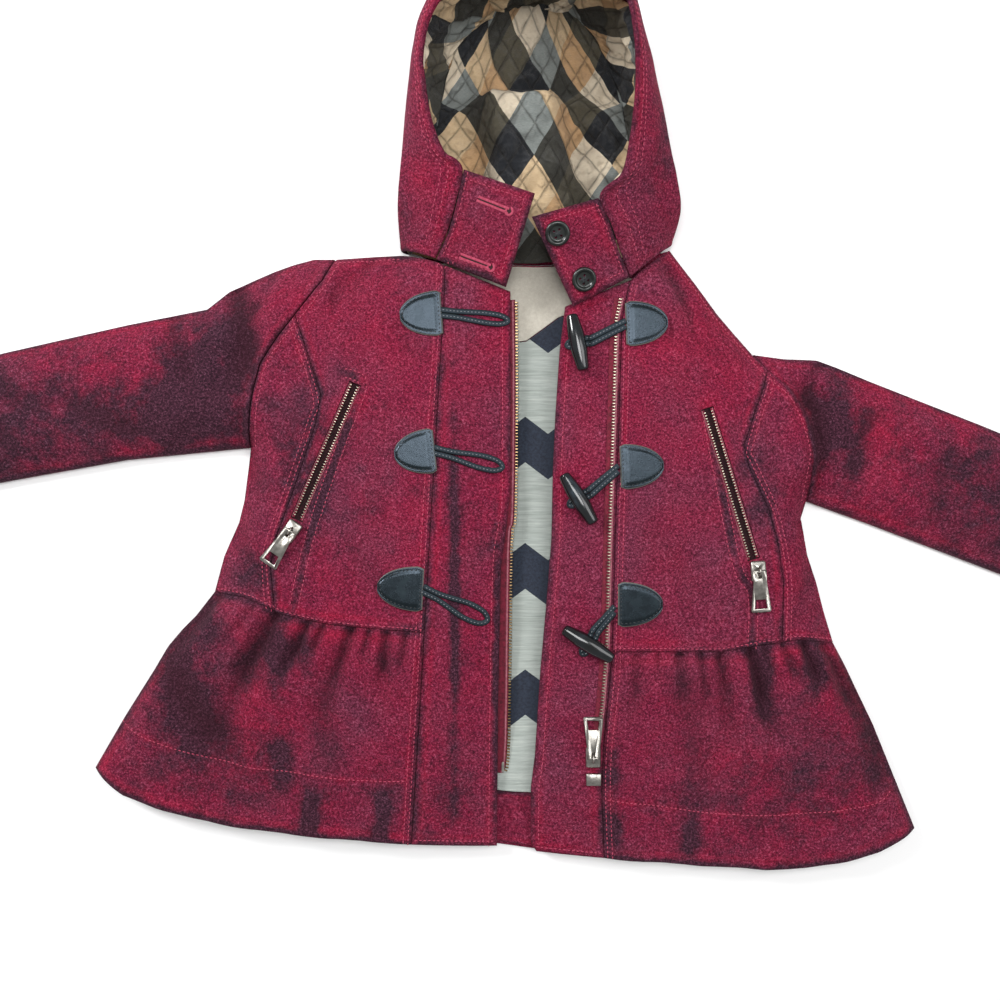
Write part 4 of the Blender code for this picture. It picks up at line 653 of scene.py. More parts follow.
def slab(name, us, vs, outer, inner, finish, marks=None):
    """A closed sheet between two faces, with its own flat coordinates kept for patterns.

    marks(u, v) gives the distance to the nearest seam and how deep a crease or trough is: near seams
    the felt is darker, part wear and part painted shade, creases get painted shade, and stitching is bright.
    """
    across, up = len(us), len(vs)
    tops = [Vector(outer(u, v)) for v in vs for u in us]
    lows = [Vector(inner(u, v)) for v in vs for u in us]
    count = across * up
    faces = []
    for j in range(up - 1):
        for i in range(across - 1):
            a = j * across + i
            faces.append((a, a + 1, a + across + 1, a + across))
            faces.append((a + count + across, a + count + across + 1, a + count + 1, a + count))
    rim = [i for i in range(across)] + [j * across + across - 1 for j in range(1, up)]
    rim += [(up - 1) * across + i for i in range(across - 2, -1, -1)]
    rim += [j * across for j in range(up - 2, 0, -1)]
    for a, b in zip(rim, rim[1:] + rim[:1]):
        faces.append((b, a, a + count, b + count))
    mesh = bpy.data.meshes.new(name)
    mesh.from_pydata([point * MM for point in tops + lows], [], faces)
    low_u, low_v = arcs(tops, across, up)
    flat = [(low_u[k % across], low_v[k // across], 0.0) for k in range(count)]
    write(mesh, "flat", [number for spot in flat * 2 for number in spot], "vector")
    if marks:
        found = [marks(u, v) for v in vs for u in us] * 2
        write(mesh, "worn_and_shaded", [exp(-(max(d - 1.0, 0.0) / WORN_AND_SHADED_REACH) ** 2) for d, _ in found])
        write(mesh, "rubbed", [exp(-((d - TOPSTITCH - 0.5) / RUBBED_HALF) ** 2) for d, _ in found])
        write(mesh, "hollow_shade", [clamp(h) for _, h in found])
    piece = keep(name, mesh, finish)
    area = sum(mesh.polygons[face].area for face in range(0, 2 * (across - 1) * (up - 1), 2))
    piece["cut"] = (low_u[-1] * MM, low_v[-1] * MM, area)
    return piece


def write(mesh, name, values, key="value"):
    """Stores a number, or a vector, for each vertex."""
    layer = mesh.attributes.new(name, "FLOAT" if key == "value" else "FLOAT_VECTOR", "POINT")
    layer.data.foreach_set(key, values)


def arcs(points, across, up):
    """Longest arc lengths so far along the two directions of a grid of points."""
    along_u, along_v = [0.0], [0.0]
    for i in range(1, across):
        steps = [(points[j * across + i] - points[j * across + i - 1]).length for j in range(0, up, 4)]
        along_u.append(along_u[-1] + max(steps))
    for j in range(1, up):
        steps = [(points[j * across + i] - points[(j - 1) * across + i]).length for i in range(0, across, 4)]
        along_v.append(along_v[-1] + max(steps))
    return along_u, along_v


def linked(name, data):
    made = bpy.data.objects.new(name, data)
    bpy.context.scene.collection.objects.link(made)
    return made


@contextmanager
def editing(mesh):
    """Opens a mesh for editing and puts the result back."""
    bm = bmesh.new()
    bm.from_mesh(mesh)
    yield bm
    bm.to_mesh(mesh)
    bm.free()


def applied(holder, *others):
    """An object's finished mesh. The holders are removed."""
    graph = bpy.context.evaluated_depsgraph_get()
    mesh = bpy.data.meshes.new_from_object(holder.evaluated_get(graph))
    for gone in (*others, holder):
        bpy.data.objects.remove(gone)
    return mesh


def solid(name, points, faces, finish, place=None):
    """Keeps a closed piece of its own points, in millimetres, moved by a matrix."""
    mesh = bpy.data.meshes.new(name)
    mesh.from_pydata([point * MM for point in points], [], faces)
    if place:
        mesh.transform(place)
    return keep(name, mesh, finish)


def loft(points, faces, rings):
    """Adds a closed solid through rings of equally many points."""
    start, count = len(points), len(rings[0])
    for number, ring in enumerate(rings):
        points += ring
        if number:
            for corner in range(count):
                b, a = (len(points) - count + step % count for step in (corner + 1, corner))
                faces.append((a - count, b - count, b, a))
    faces.append(tuple(range(start + count - 1, start - 1, -1)))
    faces.append(tuple(range(len(points) - count, len(points))))


def keep(name, mesh, finish, body="coat"):
    """Links a piece, shades it smooth and lets it ride on its body."""
    with editing(mesh) as bm:
        bmesh.ops.recalc_face_normals(bm, faces=bm.faces)
    mesh.materials.clear()
    mesh.materials.append(finish.material)
    mesh.shade_smooth()
    mesh.set_sharp_from_angle(angle=radians(SMOOTH_BELOW))
    piece = linked(name, mesh)
    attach(piece, body)
    made_pieces[name] = piece
    return piece


def cut_from(piece, held, node):
    """Hides the model's part that a piece of cloth stands in for."""
    width, length, area = piece["cut"]
    min(area, width * length)
    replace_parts(piece, node)
    return piece


def edge_drop(distance, radius=EDGE_ROUND):
    """How far a face has rounded off near its edge."""
    if distance >= radius:
        return 0.0
    return radius - sqrt(radius ** 2 - (radius - distance) ** 2)


def pucker(distance, x, y):
    """Seam allowances and stitching draw small puckers into the cloth beside a seam."""
    near = exp(-(distance / PUCKER_REACH) ** 2)
    trench = -TRENCH * exp(-((distance - TOPSTITCH) / TRENCH_HALF) ** 2)
    return near * (ripple(x, y, 4.6, 21) * 0.7 + 0.45) + trench


def cloth(name, side, centre, bottom, top, height, finish, thick=WOOL, rough=1.0, inset=0.05,
          step=STEP, seed=0.0, puckers=True, gathered=None, on_back=False):
    """A panel cut to four seam lines and draped on height(x, y), finely wrinkled.

    gathered: a side's lines, for the peplum. on_back: the edges lie on the back, to which they are sewn.
    """
    width = max(length_of(bottom), length_of(top))
    long = max(length_of(side), length_of(centre))
    us, vs = shares(width, step), shares(long, step)
    plan = coons(side, centre, bottom, top, len(us) - 1, len(vs) - 1, inset)
    rounding = min(EDGE_ROUND, thick * EDGE_SHARE)

    def spot(u, v):
        point = plan(u, v)
        inside = from_edge(u, v, width, long)
        more = gather_puffs(gathered, u, v) if gathered else 0.0
        fade = min(inside / 6.0, 1.0)
        more += wrinkles(point.x, point.y, seed) * rough * fade
        if puckers:
            more += pucker(inside, point.x, point.y) * rough * min(inside / 2.0, 1.0)
            more -= creases(point.x, point.y) * min(inside / 3.0, 1.0)
        return point, inside, height(point.x, point.y) + more

    def outer(u, v):
        point, inside, level = spot(u, v)
        return point.x, point.y, level - edge_drop(inside, rounding)

    def inner(u, v):
        point, inside, level = spot(u, v)
        low = level - thick
        if not on_back:
            low += edge_drop(inside, rounding)
        elif low < BACK_TOP + SEAM_REACH:
            low = min(low, BACK_TOP + 0.2 * GAP)
        return point.x, point.y, low

    def marks(u, v):
        point, inside, _ = spot(u, v)
        # Depth of creases and troughs, which sets the painted shade in them.
        deep = creases(point.x, point.y) / 4.0 * min(inside / 3.0, 1.0)
        return inside, deep + (trough_depth(gathered, u, v) / 6.0 if gathered else 0.0)

    return slab(name, us, vs, outer, inner, finish, marks if puckers else None)


def from_edge(u, v, width, long):
    """How far a place of a panel is from its nearest edge."""
    return min(u * width, (1 - u) * width, v * long, (1 - v) * long)


def length_of(line):
    return sum((Vector(b) - Vector(a)).length for a, b in zip(line, line[1:]))


def flat_piece(name, outline, bottom, top, finish, node):
    """A flat cut with rounded edges."""
    curve = bpy.data.curves.new(name, "CURVE")
    curve.dimensions = "2D"
    curve.fill_mode = "BOTH"
    bevel = (top - bottom) * FLAT_BEVEL
    curve.extrude = ((top - bottom) / 2 - bevel) * MM
    curve.bevel_depth = bevel * MM
    curve.bevel_resolution = 2
    curve.offset = -bevel * MM
    spline = curve.splines.new("POLY")
    spline.points.add(len(outline) - 1)
    for point, (x, y) in zip(spline.points, outline):
        point.co = (x * MM, y * MM, 0.0, 1.0)
    spline.use_cyclic_u = True
    mesh = applied(linked("holder", curve))
    with editing(mesh) as bm:
        bmesh.ops.remove_doubles(bm, verts=bm.verts, dist=1e-6)
    mesh.transform(Matrix.Translation((0, 0, (bottom + top) / 2 * MM)))
    piece = keep(name, mesh, finish)
    area = abs(sum(a[0] * b[1] - b[0] * a[1] for a, b in zip(outline, outline[1:] + outline[:1]))) / 2
    xs, ys = [p[0] for p in outline], [p[1] for p in outline]
    piece["cut"] = ((max(xs) - min(xs)) * MM, (max(ys) - min(ys)) * MM, area * MM * MM)
    return cut_from(piece, "laid", node)


def softened(points, parts=5):
    """A smooth line through points."""
    result = []
    rows = [Vector(point) for point in points]
    for i in range(len(rows) - 1):
        a, b, c, d = rows[max(i - 1, 0)], rows[i], rows[i + 1], rows[min(i + 2, len(rows) - 1)]
        result += [between(a, b, c, d, k / parts) for k in range(parts)]
    return result + [rows[-1]]


# ---- finishes

def srgb(code):
    """Linear colour of a six-digit code."""
    values = [int(code[i:i + 2], 16) / 255 for i in (0, 2, 4)]
    return tuple(v / 12.92 if v <= 0.04045 else ((v + 0.055) / 1.055) ** 2.4 for v in values) + (1.0,)


class Finish:
    """A procedural material, and the record's slot that it stands for."""

    def __init__(self, name, slot, roughness, metallic=0.0, **settings):
        self.material = bpy.data.materials.new(name)
        self.material.use_nodes = True
        self.slot = slot
        self.tree = self.material.node_tree
        self.shader = self.tree.nodes["Principled BSDF"]
        self.shader.inputs["Roughness"].default_value = roughness
        self.shader.inputs["Metallic"].default_value = metallic
        for key, value in settings.items():
            self.shader.inputs[key.replace("_", " ")].default_value = value
        self.object_place = self.node("TexCoord").outputs["Object"]

    def feed(self, socket, value):
        if isinstance(value, bpy.types.NodeSocket):
            self.tree.links.new(value, socket)
        else:
            socket.default_value = value

    def node(self, kind, inputs=(), **settings):
        made = self.tree.nodes.new("ShaderNode" + kind)
        for key, value in settings.items():
            setattr(made, key, value)
        for key, value in dict(inputs).items():
            self.feed(made.inputs[key], value)
        return made

    def noise(self, scale, detail=3.0, roughness=0.6, place=None, stretch=None):
        place = place or self.object_place
        if stretch:
            place = self.node("VectorMath", {0: place, 1: stretch}, operation="MULTIPLY").outputs[0]
        inputs = {"Vector": place, "Scale": scale, "Detail": detail, "Roughness": roughness}
        return self.node("TexNoise", inputs).outputs["Fac"]

    def ramp(self, factor, *stops, constant=False):
        made = self.node("ValToRGB", {"Fac": factor})
        ramp = made.color_ramp
        if constant:
            ramp.interpolation = "CONSTANT"
        while len(ramp.elements) < len(stops):
            ramp.elements.new(0.5)
        for element, (place, colour) in zip(ramp.elements, stops):
            element.position = place
            element.color = srgb(colour) if isinstance(colour, str) else (colour, colour, colour, 1.0)
        return made.outputs["Color"]

    def mix(self, factor, a, b, blend="MIX"):
        made = self.node("Mix", data_type="RGBA", blend_type=blend)
        for number, value in ((0, factor), (6, a), (7, b)):
            self.feed(made.inputs[number], value)
        return made.outputs[2]

    def maths(self, operation, a, b=0.0):
        return self.node("Math", {0: a, 1: b}, operation=operation).outputs[0]

    def times(self, a, b):
        return self.maths("MULTIPLY", a, b)

    def plus(self, a, b):
        return self.maths("ADD", a, b)

    def parts(self, place):
        return self.node("SeparateXYZ", {0: place}).outputs

    def attribute(self, name, output="Fac"):
        return self.node("Attribute", attribute_name=name).outputs[output]

    def colour(self, socket):
        self.tree.links.new(socket, self.shader.inputs["Base Color"])

    def rough(self, socket, low, high):
        made = self.node("MapRange", {"Value": socket, "To Min": low, "To Max": high})
        self.tree.links.new(made.outputs[0], self.shader.inputs["Roughness"])

    def bump(self, *layers):
        """Layers of (height, depth in millimetres), stacked."""
        normal = None
        for height, depth in layers:
            inputs = {"Height": height, "Distance": depth * MM, "Strength": 1.0}
            if normal:
                inputs["Normal"] = normal
            normal = self.node("Bump", inputs).outputs[0]
        self.tree.links.new(normal, self.shader.inputs["Normal"])


def wool_finish():
    """Brushed melton of mixed burgundy, red, mauve and charcoal fibres."""
    wool = Finish("burgundy_melton", "burgundy_wool", 0.95, Specular_IOR_Level=0.2, Sheen_Weight=0.08,
                  Sheen_Roughness=0.4, Sheen_Tint=srgb("B86878"))
    fibre = wool.noise(1500, 3.0, 0.8)
    short = wool.noise(640, 3.0, 0.9)
    blotch = wool.noise(75, 5.0, 0.75)
    cloud = wool.noise(19, 4.0, 0.6)
    dark, warm, worn_and_shaded, rubbed, hollow_shade = map(wool.attribute, ("dark", "warm", "worn_and_shaded", "rubbed", "hollow_shade"))
    base = wool.ramp(short, (0.32, "300612"), (0.45, "561028"), (0.56, "7A1C3A"), (0.72, "AA506C"))
    red = wool.ramp(short, (0.32, "420412"), (0.45, "760E2A"), (0.57, "9A1C3A"), (0.73, "C8546E"))
    bright = wool.times(wool.ramp(blotch, (0.40, 0.0), (0.64, 1.0)), 0.45)
    base = wool.mix(bright, base, red)
    base = wool.mix(wool.times(warm, wool.ramp(blotch, (0.25, 0.2), (0.6, 1.0))), base, red)
    base = wool.mix(wool.times(rubbed, wool.ramp(blotch, (0.3, 0.35), (0.6, 0.8))), base, red)
    grey = wool.ramp(short, (0.32, "220E18"), (0.46, "4A2234"), (0.58, "6E3A50"), (0.72, "9E6C82"))
    base = wool.mix(wool.times(wool.ramp(cloud, (0.42, 0.0), (0.68, 1.0)), 0.6), base, grey)
    # Charcoal: the felt's own mottling, and painted shade where dark areas, seam edges and creases pull it
    # in.
    charcoal = wool.ramp(short, (0.32, "100810"), (0.47, "281420"), (0.60, "4A2A3A"), (0.73, "785264"))
    total = wool.times(wool.noise(48, 5.0, 0.7), 0.8)
    for area, strength in ((dark, 0.55), (worn_and_shaded, 0.20), (hollow_shade, 0.20)):
        total = wool.plus(total, wool.times(area, strength))
    base = wool.mix(wool.ramp(total, (0.52, 0.0), (0.76, 0.92)), base, charcoal)
    # Painted shade: creases and troughs darkened further towards deep maroon.
    wool.colour(wool.mix(wool.times(hollow_shade, 0.5), base, srgb("2A0812")))
    wool.bump((wool.noise(60, 4.0), 0.6), (short, 0.45), (fibre, 0.25))
    return wool


def weave(finish, pitch, depth):
    """Plain weave from the cloth's own flat coordinates, as a bump."""
    parts = finish.parts(finish.attribute("flat", "Vector"))
    warp, weft = (finish.maths("SINE", finish.times(part, 2 * pi / pitch)) for part in parts[:2])
    return finish.times(warp, weft), depth


def diamonds(finish, wide, tall):
    """How far a point is across both ways of a diamond grid."""
    parts = finish.parts(finish.attribute("flat", "Vector"))
    a, b = finish.times(parts[0], 1.0 / wide), finish.times(parts[1], 1.0 / tall)
    return finish.plus(a, b), finish.maths("SUBTRACT", a, b)


def quilt_finish():
    """Generic harlequin diamonds, quilted in a smaller diamond with pale thread."""
    quilt = Finish("quilted_harlequin", "quilted_cotton", 0.8, Sheen_Weight=0.1)
    first, second = (quilt.maths("FLOOR", value) for value in diamonds(quilt, *MOTIF))
    whole = quilt.plus(first, quilt.times(second, 2.0))    # steps by one and two along the rows
    index = quilt.maths("DIVIDE", quilt.maths("FLOORED_MODULO", whole, 7.0), 7.0)
    colours = ("D2AC82", "565244", "EADCC6", "10151E", "8A9292", "DEC4A0", "34342E")
    stops = [(max(i - 0.3, 0) / 7, colour) for i, colour in enumerate(colours)]
    base = quilt.ramp(index, *stops, constant=True)
    slub = quilt.noise(1.0, 3.0, 0.6, place=quilt.attribute("flat", "Vector"), stretch=(0.25, 2.2, 1))
    base = quilt.mix(0.45, base, quilt.ramp(slub, (0.3, "4C463C"), (0.7, "ECE0CC")), "SOFT_LIGHT")
    apart = [quilt.maths("PINGPONG", value, 0.5) for value in diamonds(quilt, *QUILTING)]
    nearest = quilt.maths("MINIMUM", *apart)
    # Painted shade along the sunk quilting lines.
    groove_shade = quilt.ramp(nearest, (0.0, 1.0), (0.03, 0.35), (0.10, 0.0))
    base = quilt.mix(quilt.times(groove_shade, 0.45), base, srgb("2A241C"))
    quilt.colour(base)
    pillow = quilt.ramp(nearest, (0.0, 0.0), (0.06, 0.5), (0.2, 0.85), (0.5, 1.0))
    folds = quilt.ramp(quilt.noise(34, 3.0, 0.6), (0.40, 0.0), (0.50, 1.0), (0.60, 0.0))
    quilt.bump((pillow, 2.2), (folds, 1.6), (quilt.noise(110), 0.6), weave(quilt, 0.55, 0.10))
    return quilt


def lining_finish():
    """Pale slubbed cotton with broad woven zigzag bands."""
    lining = Finish("slub_cotton", "pale_grey_cotton", 0.85, Sheen_Weight=0.1)
    parts = lining.parts(lining.object_place)
    zigzag = lining.times(lining.maths("PINGPONG", parts[0], ZIGZAG_HALF), ZIGZAG_SLOPE)
    up = lining.plus(lining.maths("SUBTRACT", parts[1], ZIGZAG_AT), zigzag)
    away = lining.maths("PINGPONG", up, ZIGZAG_PITCH / 2)
    plain = lining.ramp(lining.noise(260, 4.0, 0.7, stretch=(0.12, 3.0, 1.0)), (0.3, "98A09A"),
                        (0.55, "B6BEB8"), (0.75, "CCD2CA"))
    navy = lining.ramp(lining.noise(600), (0.3, "161D2C"), (0.7, "2C3648"))
    base = lining.mix(lining.maths("LESS_THAN", away, ZIGZAG_WIDE / 2), plain, navy)
    lining.colour(base)
    lining.bump((lining.noise(90), 0.3), (lining.noise(28, 2.0), 1.2), weave(lining, 0.6, 0.12))
    return lining


def mottled(name, slot, roughness, grain, *stops, polish=None, bumps=(), woven=None, metallic=0.0,
            **settings):
    """Coloured by one noise, which can vary the polish too, with bumps of (noise, depth) and a weave."""
    made = Finish(name, slot, roughness, metallic, **settings)
    cloud = made.noise(*grain)
    made.colour(made.ramp(cloud, *stops))
    if polish:
        made.rough(cloud, *polish)
    layers = [(made.noise(*bump), depth) for bump, depth in bumps]
    if woven:
        layers.append(weave(made, *woven))
    if layers:
        made.bump(*layers)
    return made


def zip_tape_finish():
    """Woven zip tape, pink where the edge attribute says so."""
    made = Finish("wine_zip_tape", "zip_tape", 0.85)
    cloud = made.noise(420, 3.0, 0.65)
    base = made.ramp(cloud, (0.3, "4C0A1C"), (0.7, "861A36"))
    pale = made.ramp(cloud, (0.3, "A85C6C"), (0.7, "CC8894"))
    made.colour(made.mix(made.attribute("edge"), base, pale))
    made.bump((made.noise(200), 0.15), weave(made, 0.8, 0.12))
    return made


def leather_finish(name, smooth_part, rough_part):
    """Black cowhide with a cool sheen, fine grain and light scuffs."""
    leather = Finish(name, "black_leather", 0.45, Specular_Tint=srgb("C8DEF4"))
    cells = leather.node("TexVoronoi", {"Vector": leather.object_place, "Scale": 1150.0},
                         feature="DISTANCE_TO_EDGE").outputs["Distance"]
    cloud = leather.noise(130, 4.0)
    base = leather.ramp(cloud, (0.3, "080B0C"), (0.6, "101718"), (0.8, "1C2626"))
    leather.colour(leather.mix(leather.attribute("edge"), base, srgb("8A8880")))
    leather.rough(cloud, smooth_part, rough_part)
    leather.bump((leather.noise(110), 0.14), (leather.maths("MINIMUM", cells, 0.28), 0.05))
    return leather


def plain_cloth(name, slot, dark, light):
    return mottled(name, slot, 0.85, (420, 3.0, 0.65), (0.3, dark), (0.7, light), bumps=[((200,), 0.15)],
                   woven=(0.5, 0.12))


def metal(name, dark, light, roughness):
    return mottled(name, "nickel", roughness, (260, 4.0), (0.3, dark), (0.7, light), metallic=1.0,
                   polish=(roughness - 0.06, roughness + 0.1),
                   bumps=[((1800, 2.0, 0.7, None, (1.0, 0.15, 1.0)), 0.03)])


WOOL_CLOTH = wool_finish()
THREAD = mottled("wool_thread", "burgundy_wool", 0.7, (700,), (0.3, "92203E"), (0.7, "B84A64"),
                 bumps=[((2500,), 0.1)])
QUILT = quilt_finish()
SLUB = lining_finish()
CREAM = plain_cloth("cream_cotton", "cream_cotton", "D2CBBC", "E2DCCE")
POCKETING = plain_cloth("wine_pocketing", "pocket_cotton", "1C060C", "3A0C18")
WINE_TAPE = zip_tape_finish()
LEATHER_HIDE = leather_finish("black_cowhide", 0.20, 0.34)
STRAP_HIDE = leather_finish("black_strap_hide", 0.5, 0.62)
HORN = mottled("black_horn", "black_horn", 0.16, (70, 4.0, 0.6, None, (1.0, 1.0, 4.0)), (0.35, "070909"),
               (0.62, "10161A"), (0.8, "28323A"), polish=(0.10, 0.26), bumps=[((180,), 0.05)],
               Coat_Weight=0.4)
RESIN = mottled("green_black_resin", "black_horn", 0.28, (160, 4.0), (0.3, "060908"), (0.6, "101714"),
                (0.8, "1E2823"), polish=(0.2, 0.4), bumps=[((500,), 0.04)], Coat_Weight=0.2)
NICKEL = metal("satin_nickel", "8A8680", "C4C0B8", 0.32)
TEETH = metal("zip_teeth", "7C7262", "CFC5B3", 0.34)
BRONZE = metal("zip_bronze", "6A5238", "C0A078", 0.34)
DARK_THREAD = mottled("black_thread", "black_leather", 0.6, (800,), (0.3, "101214"), (0.7, "34383C"))
GREY_THREAD = mottled("grey_thread", "black_leather", 0.7, (800,), (0.3, "5C6064"), (0.7, "8C9094"))
PAPER = mottled("pale_floor", "burgundy_wool", 0.9, (3,), (0.3, "F4F4F4"), (0.7, "FAFAFA"))


def shade(piece):
    """Writes dark areas (felt blotches and painted shade) and warm areas onto a wool piece."""
    for name, areas in (("dark", DARK_AND_SHADED_AREAS), ("warm", WARM_AREAS)):
        values = []
        for vert in piece.data.vertices:
            here_x, here_y = vert.co.x / MM, vert.co.y / MM
            total = 0.0
            for x, y, wide, tall, amount in areas:
                far = ((here_x - x) / wide) ** 2 + ((here_y - y) / tall) ** 2
                if far < 9:
                    total += amount * exp(-far)
            values.append(min(total, 1.0))
        write(piece.data, name, values)
    return piece


def mark(piece, name, line, wide, amount):
    """Strengthens one of the felt's marks along a plan line."""
    for vert, value in zip(piece.data.vertices, piece.data.attributes[name].data):
        far = distance_to([line], vert.co.x / MM, vert.co.y / MM)
        if far < wide * 2.5:
            value.value += amount * exp(-(far / wide) ** 2)


# ---- body

def dress_back():
    upper, lower = [], []
    for lines in PLAN.values():
        upper += chain(lines.shoulder, lines.upper, lines.lower, lines.seam)[::-lines.out]
        lower += chain(lines.peplum, lines.hem, lines.band_hem)[::-lines.out]
    upper += list(BACK_NECK[1:-1])[::-1]
    lower = shifted(lower, y=-SEAM)
    for name, outline in (("body", upper), ("peplum", lower)):
        shade(flat_piece(f"wool_back_{name}", outline, 0.0, BACK_TOP, WOOL_CLOTH, f"back_{name}"))


def dress_lining():
    """Body lining, its cream yoke and the wool hem facing."""
    bottom = BACK_TOP + GAP
    right, left = (drawn_in(chain(lines.lower[2:], lines.seam, lines.peplum[:-2]), LINING_MARGIN,
                            COAT_MIDDLE) for lines in PLAN.values())
    hem, yoke = list(LINING_HEM), list(YOKE_SEAM)
    plain = dict(thick=0.9, rough=0.1, step=4.0, puckers=False)

    def level(x, y):
        open_strip = exp(-((x - OPEN_MIDDLE) / OPEN_HALF) ** 2)
        return bottom + LINING + (1.6 + ripple(x, y * 0.45, 21, 3) * 2.6) * open_strip

    piece = cloth("lining_back", right[::-1], left[::-1], hem, yoke, level, SLUB, **plain)
    cut_from(piece, "laid", "back_lining")
    neck = shifted(BACK_NECK[1:-2], y=-YOKE_MARGIN) + [YOKE_CORNER]
    right_side = [yoke[0]] + list(YOKE_RIGHT_END)[::-1]
    left_side = [yoke[-1]] + list(YOKE_LEFT_END)
    piece = cloth("lining_yoke", shifted(right_side, y=SEAM), shifted(left_side, y=SEAM),
                  shifted(yoke, y=SEAM), [right_side[-1]] + neck + [left_side[-1]], level, CREAM,
                  **plain)
    cut_from(piece, "laid", "neck_yoke")
    low = list(FACING_HEM)[::-1]
    piece = cloth("wool_hem_facing", [low[0], hem[0]], [low[-1], hem[-1]], low,
                  shifted(hem, y=-SEAM), lambda x, y: bottom + 2.4, WOOL_CLOTH, thick=2.3, rough=0.15,
                  step=4.0)
    cut_from(shade(piece), "laid", "back_hem_facing")


def trough_depth(lines, u, v):
    """How deep the troughs between the gathers are at a place of the peplum."""
    down = 1.0 - v
    place = mix(lines.waist[0][0], lines.waist[-1][0], u)
    total = 0.0
    for x, deep, half, reach, lean in lines.troughs:
        wide = half * (0.8 + 0.7 * down / reach)
        off = place + lean * down - x
        if abs(off) < wide * 3.2:
            fade = smooth((down + 0.012) / 0.035) * (1.0 - smooth((down / reach - 0.4) / 0.7))
            total += deep * fade * exp(-abs(off / wide) ** 1.7)
    return total


def gather_puffs(lines, u, v):
    """The solids' gathers, swollen between the troughs that run down from the waist seam."""
    down = 1.0 - v
    place = mix(lines.waist[0][0], lines.waist[-1][0], u)
    swell = smooth(down / 0.10) * (1.0 - 0.7 * smooth(down / 0.8))
    small = ripple(place, down * 40, 4.6, 31) * 0.9 * smooth(down / 0.03) * (1 - smooth(down / 0.25))
    edge = rise(min(u, 1.0 - u) / 0.06)
    puffs = PUFF_HEIGHT * swell - TROUGH_SHARE * trough_depth(lines, u, v) + small
    return gather_height(lines, u, v) * 0.5 + puffs * edge


def dress_front(side):
    lines = PLAN[side]
    waist_end = lines.waist_front[-1]
    above = [point for point in lines.band_seam if point[1] > waist_end[1]]
    below = [point for point in lines.band_seam if point[1] < waist_end[1]]
    top = chain(lines.upper[::-1], lines.shoulder[::-1], lines.neck[::-1])
    # Darker along the pocket's border and the hem edge: part wear, part painted shade.
    border = ("worn_and_shaded", lines.pocket_border, 3.4, 1.2)
    slit = ("rubbed", POCKETS[side], POCKET_SLIT * 0.72, 1.6)
    hems = (("rubbed", lines.hem_stitches, 1.8, 1.0), ("worn_and_shaded", lines.hem, 3.0, 1.0))
    for name, outside, inside, low, high, held, marks in (
        ("side_panel", lines.seam, lines.princess, lines.waist_side, lines.lower[::-1], "laid", [border]),
        ("front_panel", lines.princess, above + [waist_end], lines.waist_front, top, "laid", [slit, border]),
        ("peplum", lines.peplum, [waist_end] + below, lines.hem, lines.waist, "gathered", hems),
        ("front_band", lines.band_seam, lines.band_edge, lines.band_hem, lines.band_neck[::-1], "folded",
         ()),
    ):
        piece = cloth(f"wool_{name}_{side}", outside[::-1], inside[::-1], low, high, front_top, WOOL_CLOTH,
                      thick=DOUBLE_WOOL if name == "front_band" else WOOL, seed=lines.seed,
                      gathered=lines if name == "peplum" else None,
                      on_back=name in ("side_panel", "peplum"))
        if name == "front_panel":
            cut_pocket(piece, side)
        for row in marks:
            mark(piece, *row)
        cut_from(shade(piece), held, f"{name}_{side}")


def dress_sleeve(side):
    lines = PLAN[side]
    outward = lines.out * ARMHOLE_GAP
    armhole = shifted(chain(lines.upper, lines.lower), x=outward)
    top_fold, under_fold = (shifted(line, x=outward) for line in (lines.sleeve_top, lines.sleeve_under))
    under = armhole + list(under_fold[1:]) + list(top_fold[1:])[::-1]
    shade(flat_piece(f"wool_sleeve_under_{side}", under, 0.0, BACK_TOP, WOOL_CLOTH, f"sleeve_under_{side}"))
    piece = cloth(f"wool_sleeve_upper_{side}", under_fold, top_fold, armhole[::-1],
                  [under_fold[-1], top_fold[-1]], lambda x, y: sleeve_top(lines, x - outward, y), WOOL_CLOTH,
                  rough=1.25, seed=lines.seed + 20.0, on_back=True)
    cut_from(shade(piece), "laid", f"sleeve_upper_{side}")


# ---- hood

def quilted(a, b):
    """Height of the wadding between the quilting lines."""
    a, b = a / QUILTING[0], b / QUILTING[1]
    return (abs(sin(pi * (a + b))) * abs(sin(pi * (a - b)))) ** 0.45


def crumple(a, b, seed):
    folds = 1.0 - abs(noise.noise(Vector((a / 30, b / 24, seed)))) * 2.6
    small = 1.0 - abs(noise.noise(Vector((a / 13, b / 12, seed + 4)))) * 2.6
    return folds * 3.0 + small * 1.3


def inside_hood(place, down, depth):
    """A point at a depth inside the hood wall's outer face."""
    step = 0.02
    here = hood_point(place, down)
    ahead, behind = min(place + step, LAST_PROFILE), max(place - step, 0)
    lower, upper = min(down + step, 1.0), max(down - step, 0.0)
    round_rim = hood_point(ahead, down) - hood_point(behind, down)
    down_wall = hood_point(place, lower) - hood_point(place, upper)
    normal = round_rim.cross(down_wall).normalized()
    if normal.dot(here - HOOD_MIDDLE) < 0:
        normal.negate()
    return here - normal * depth


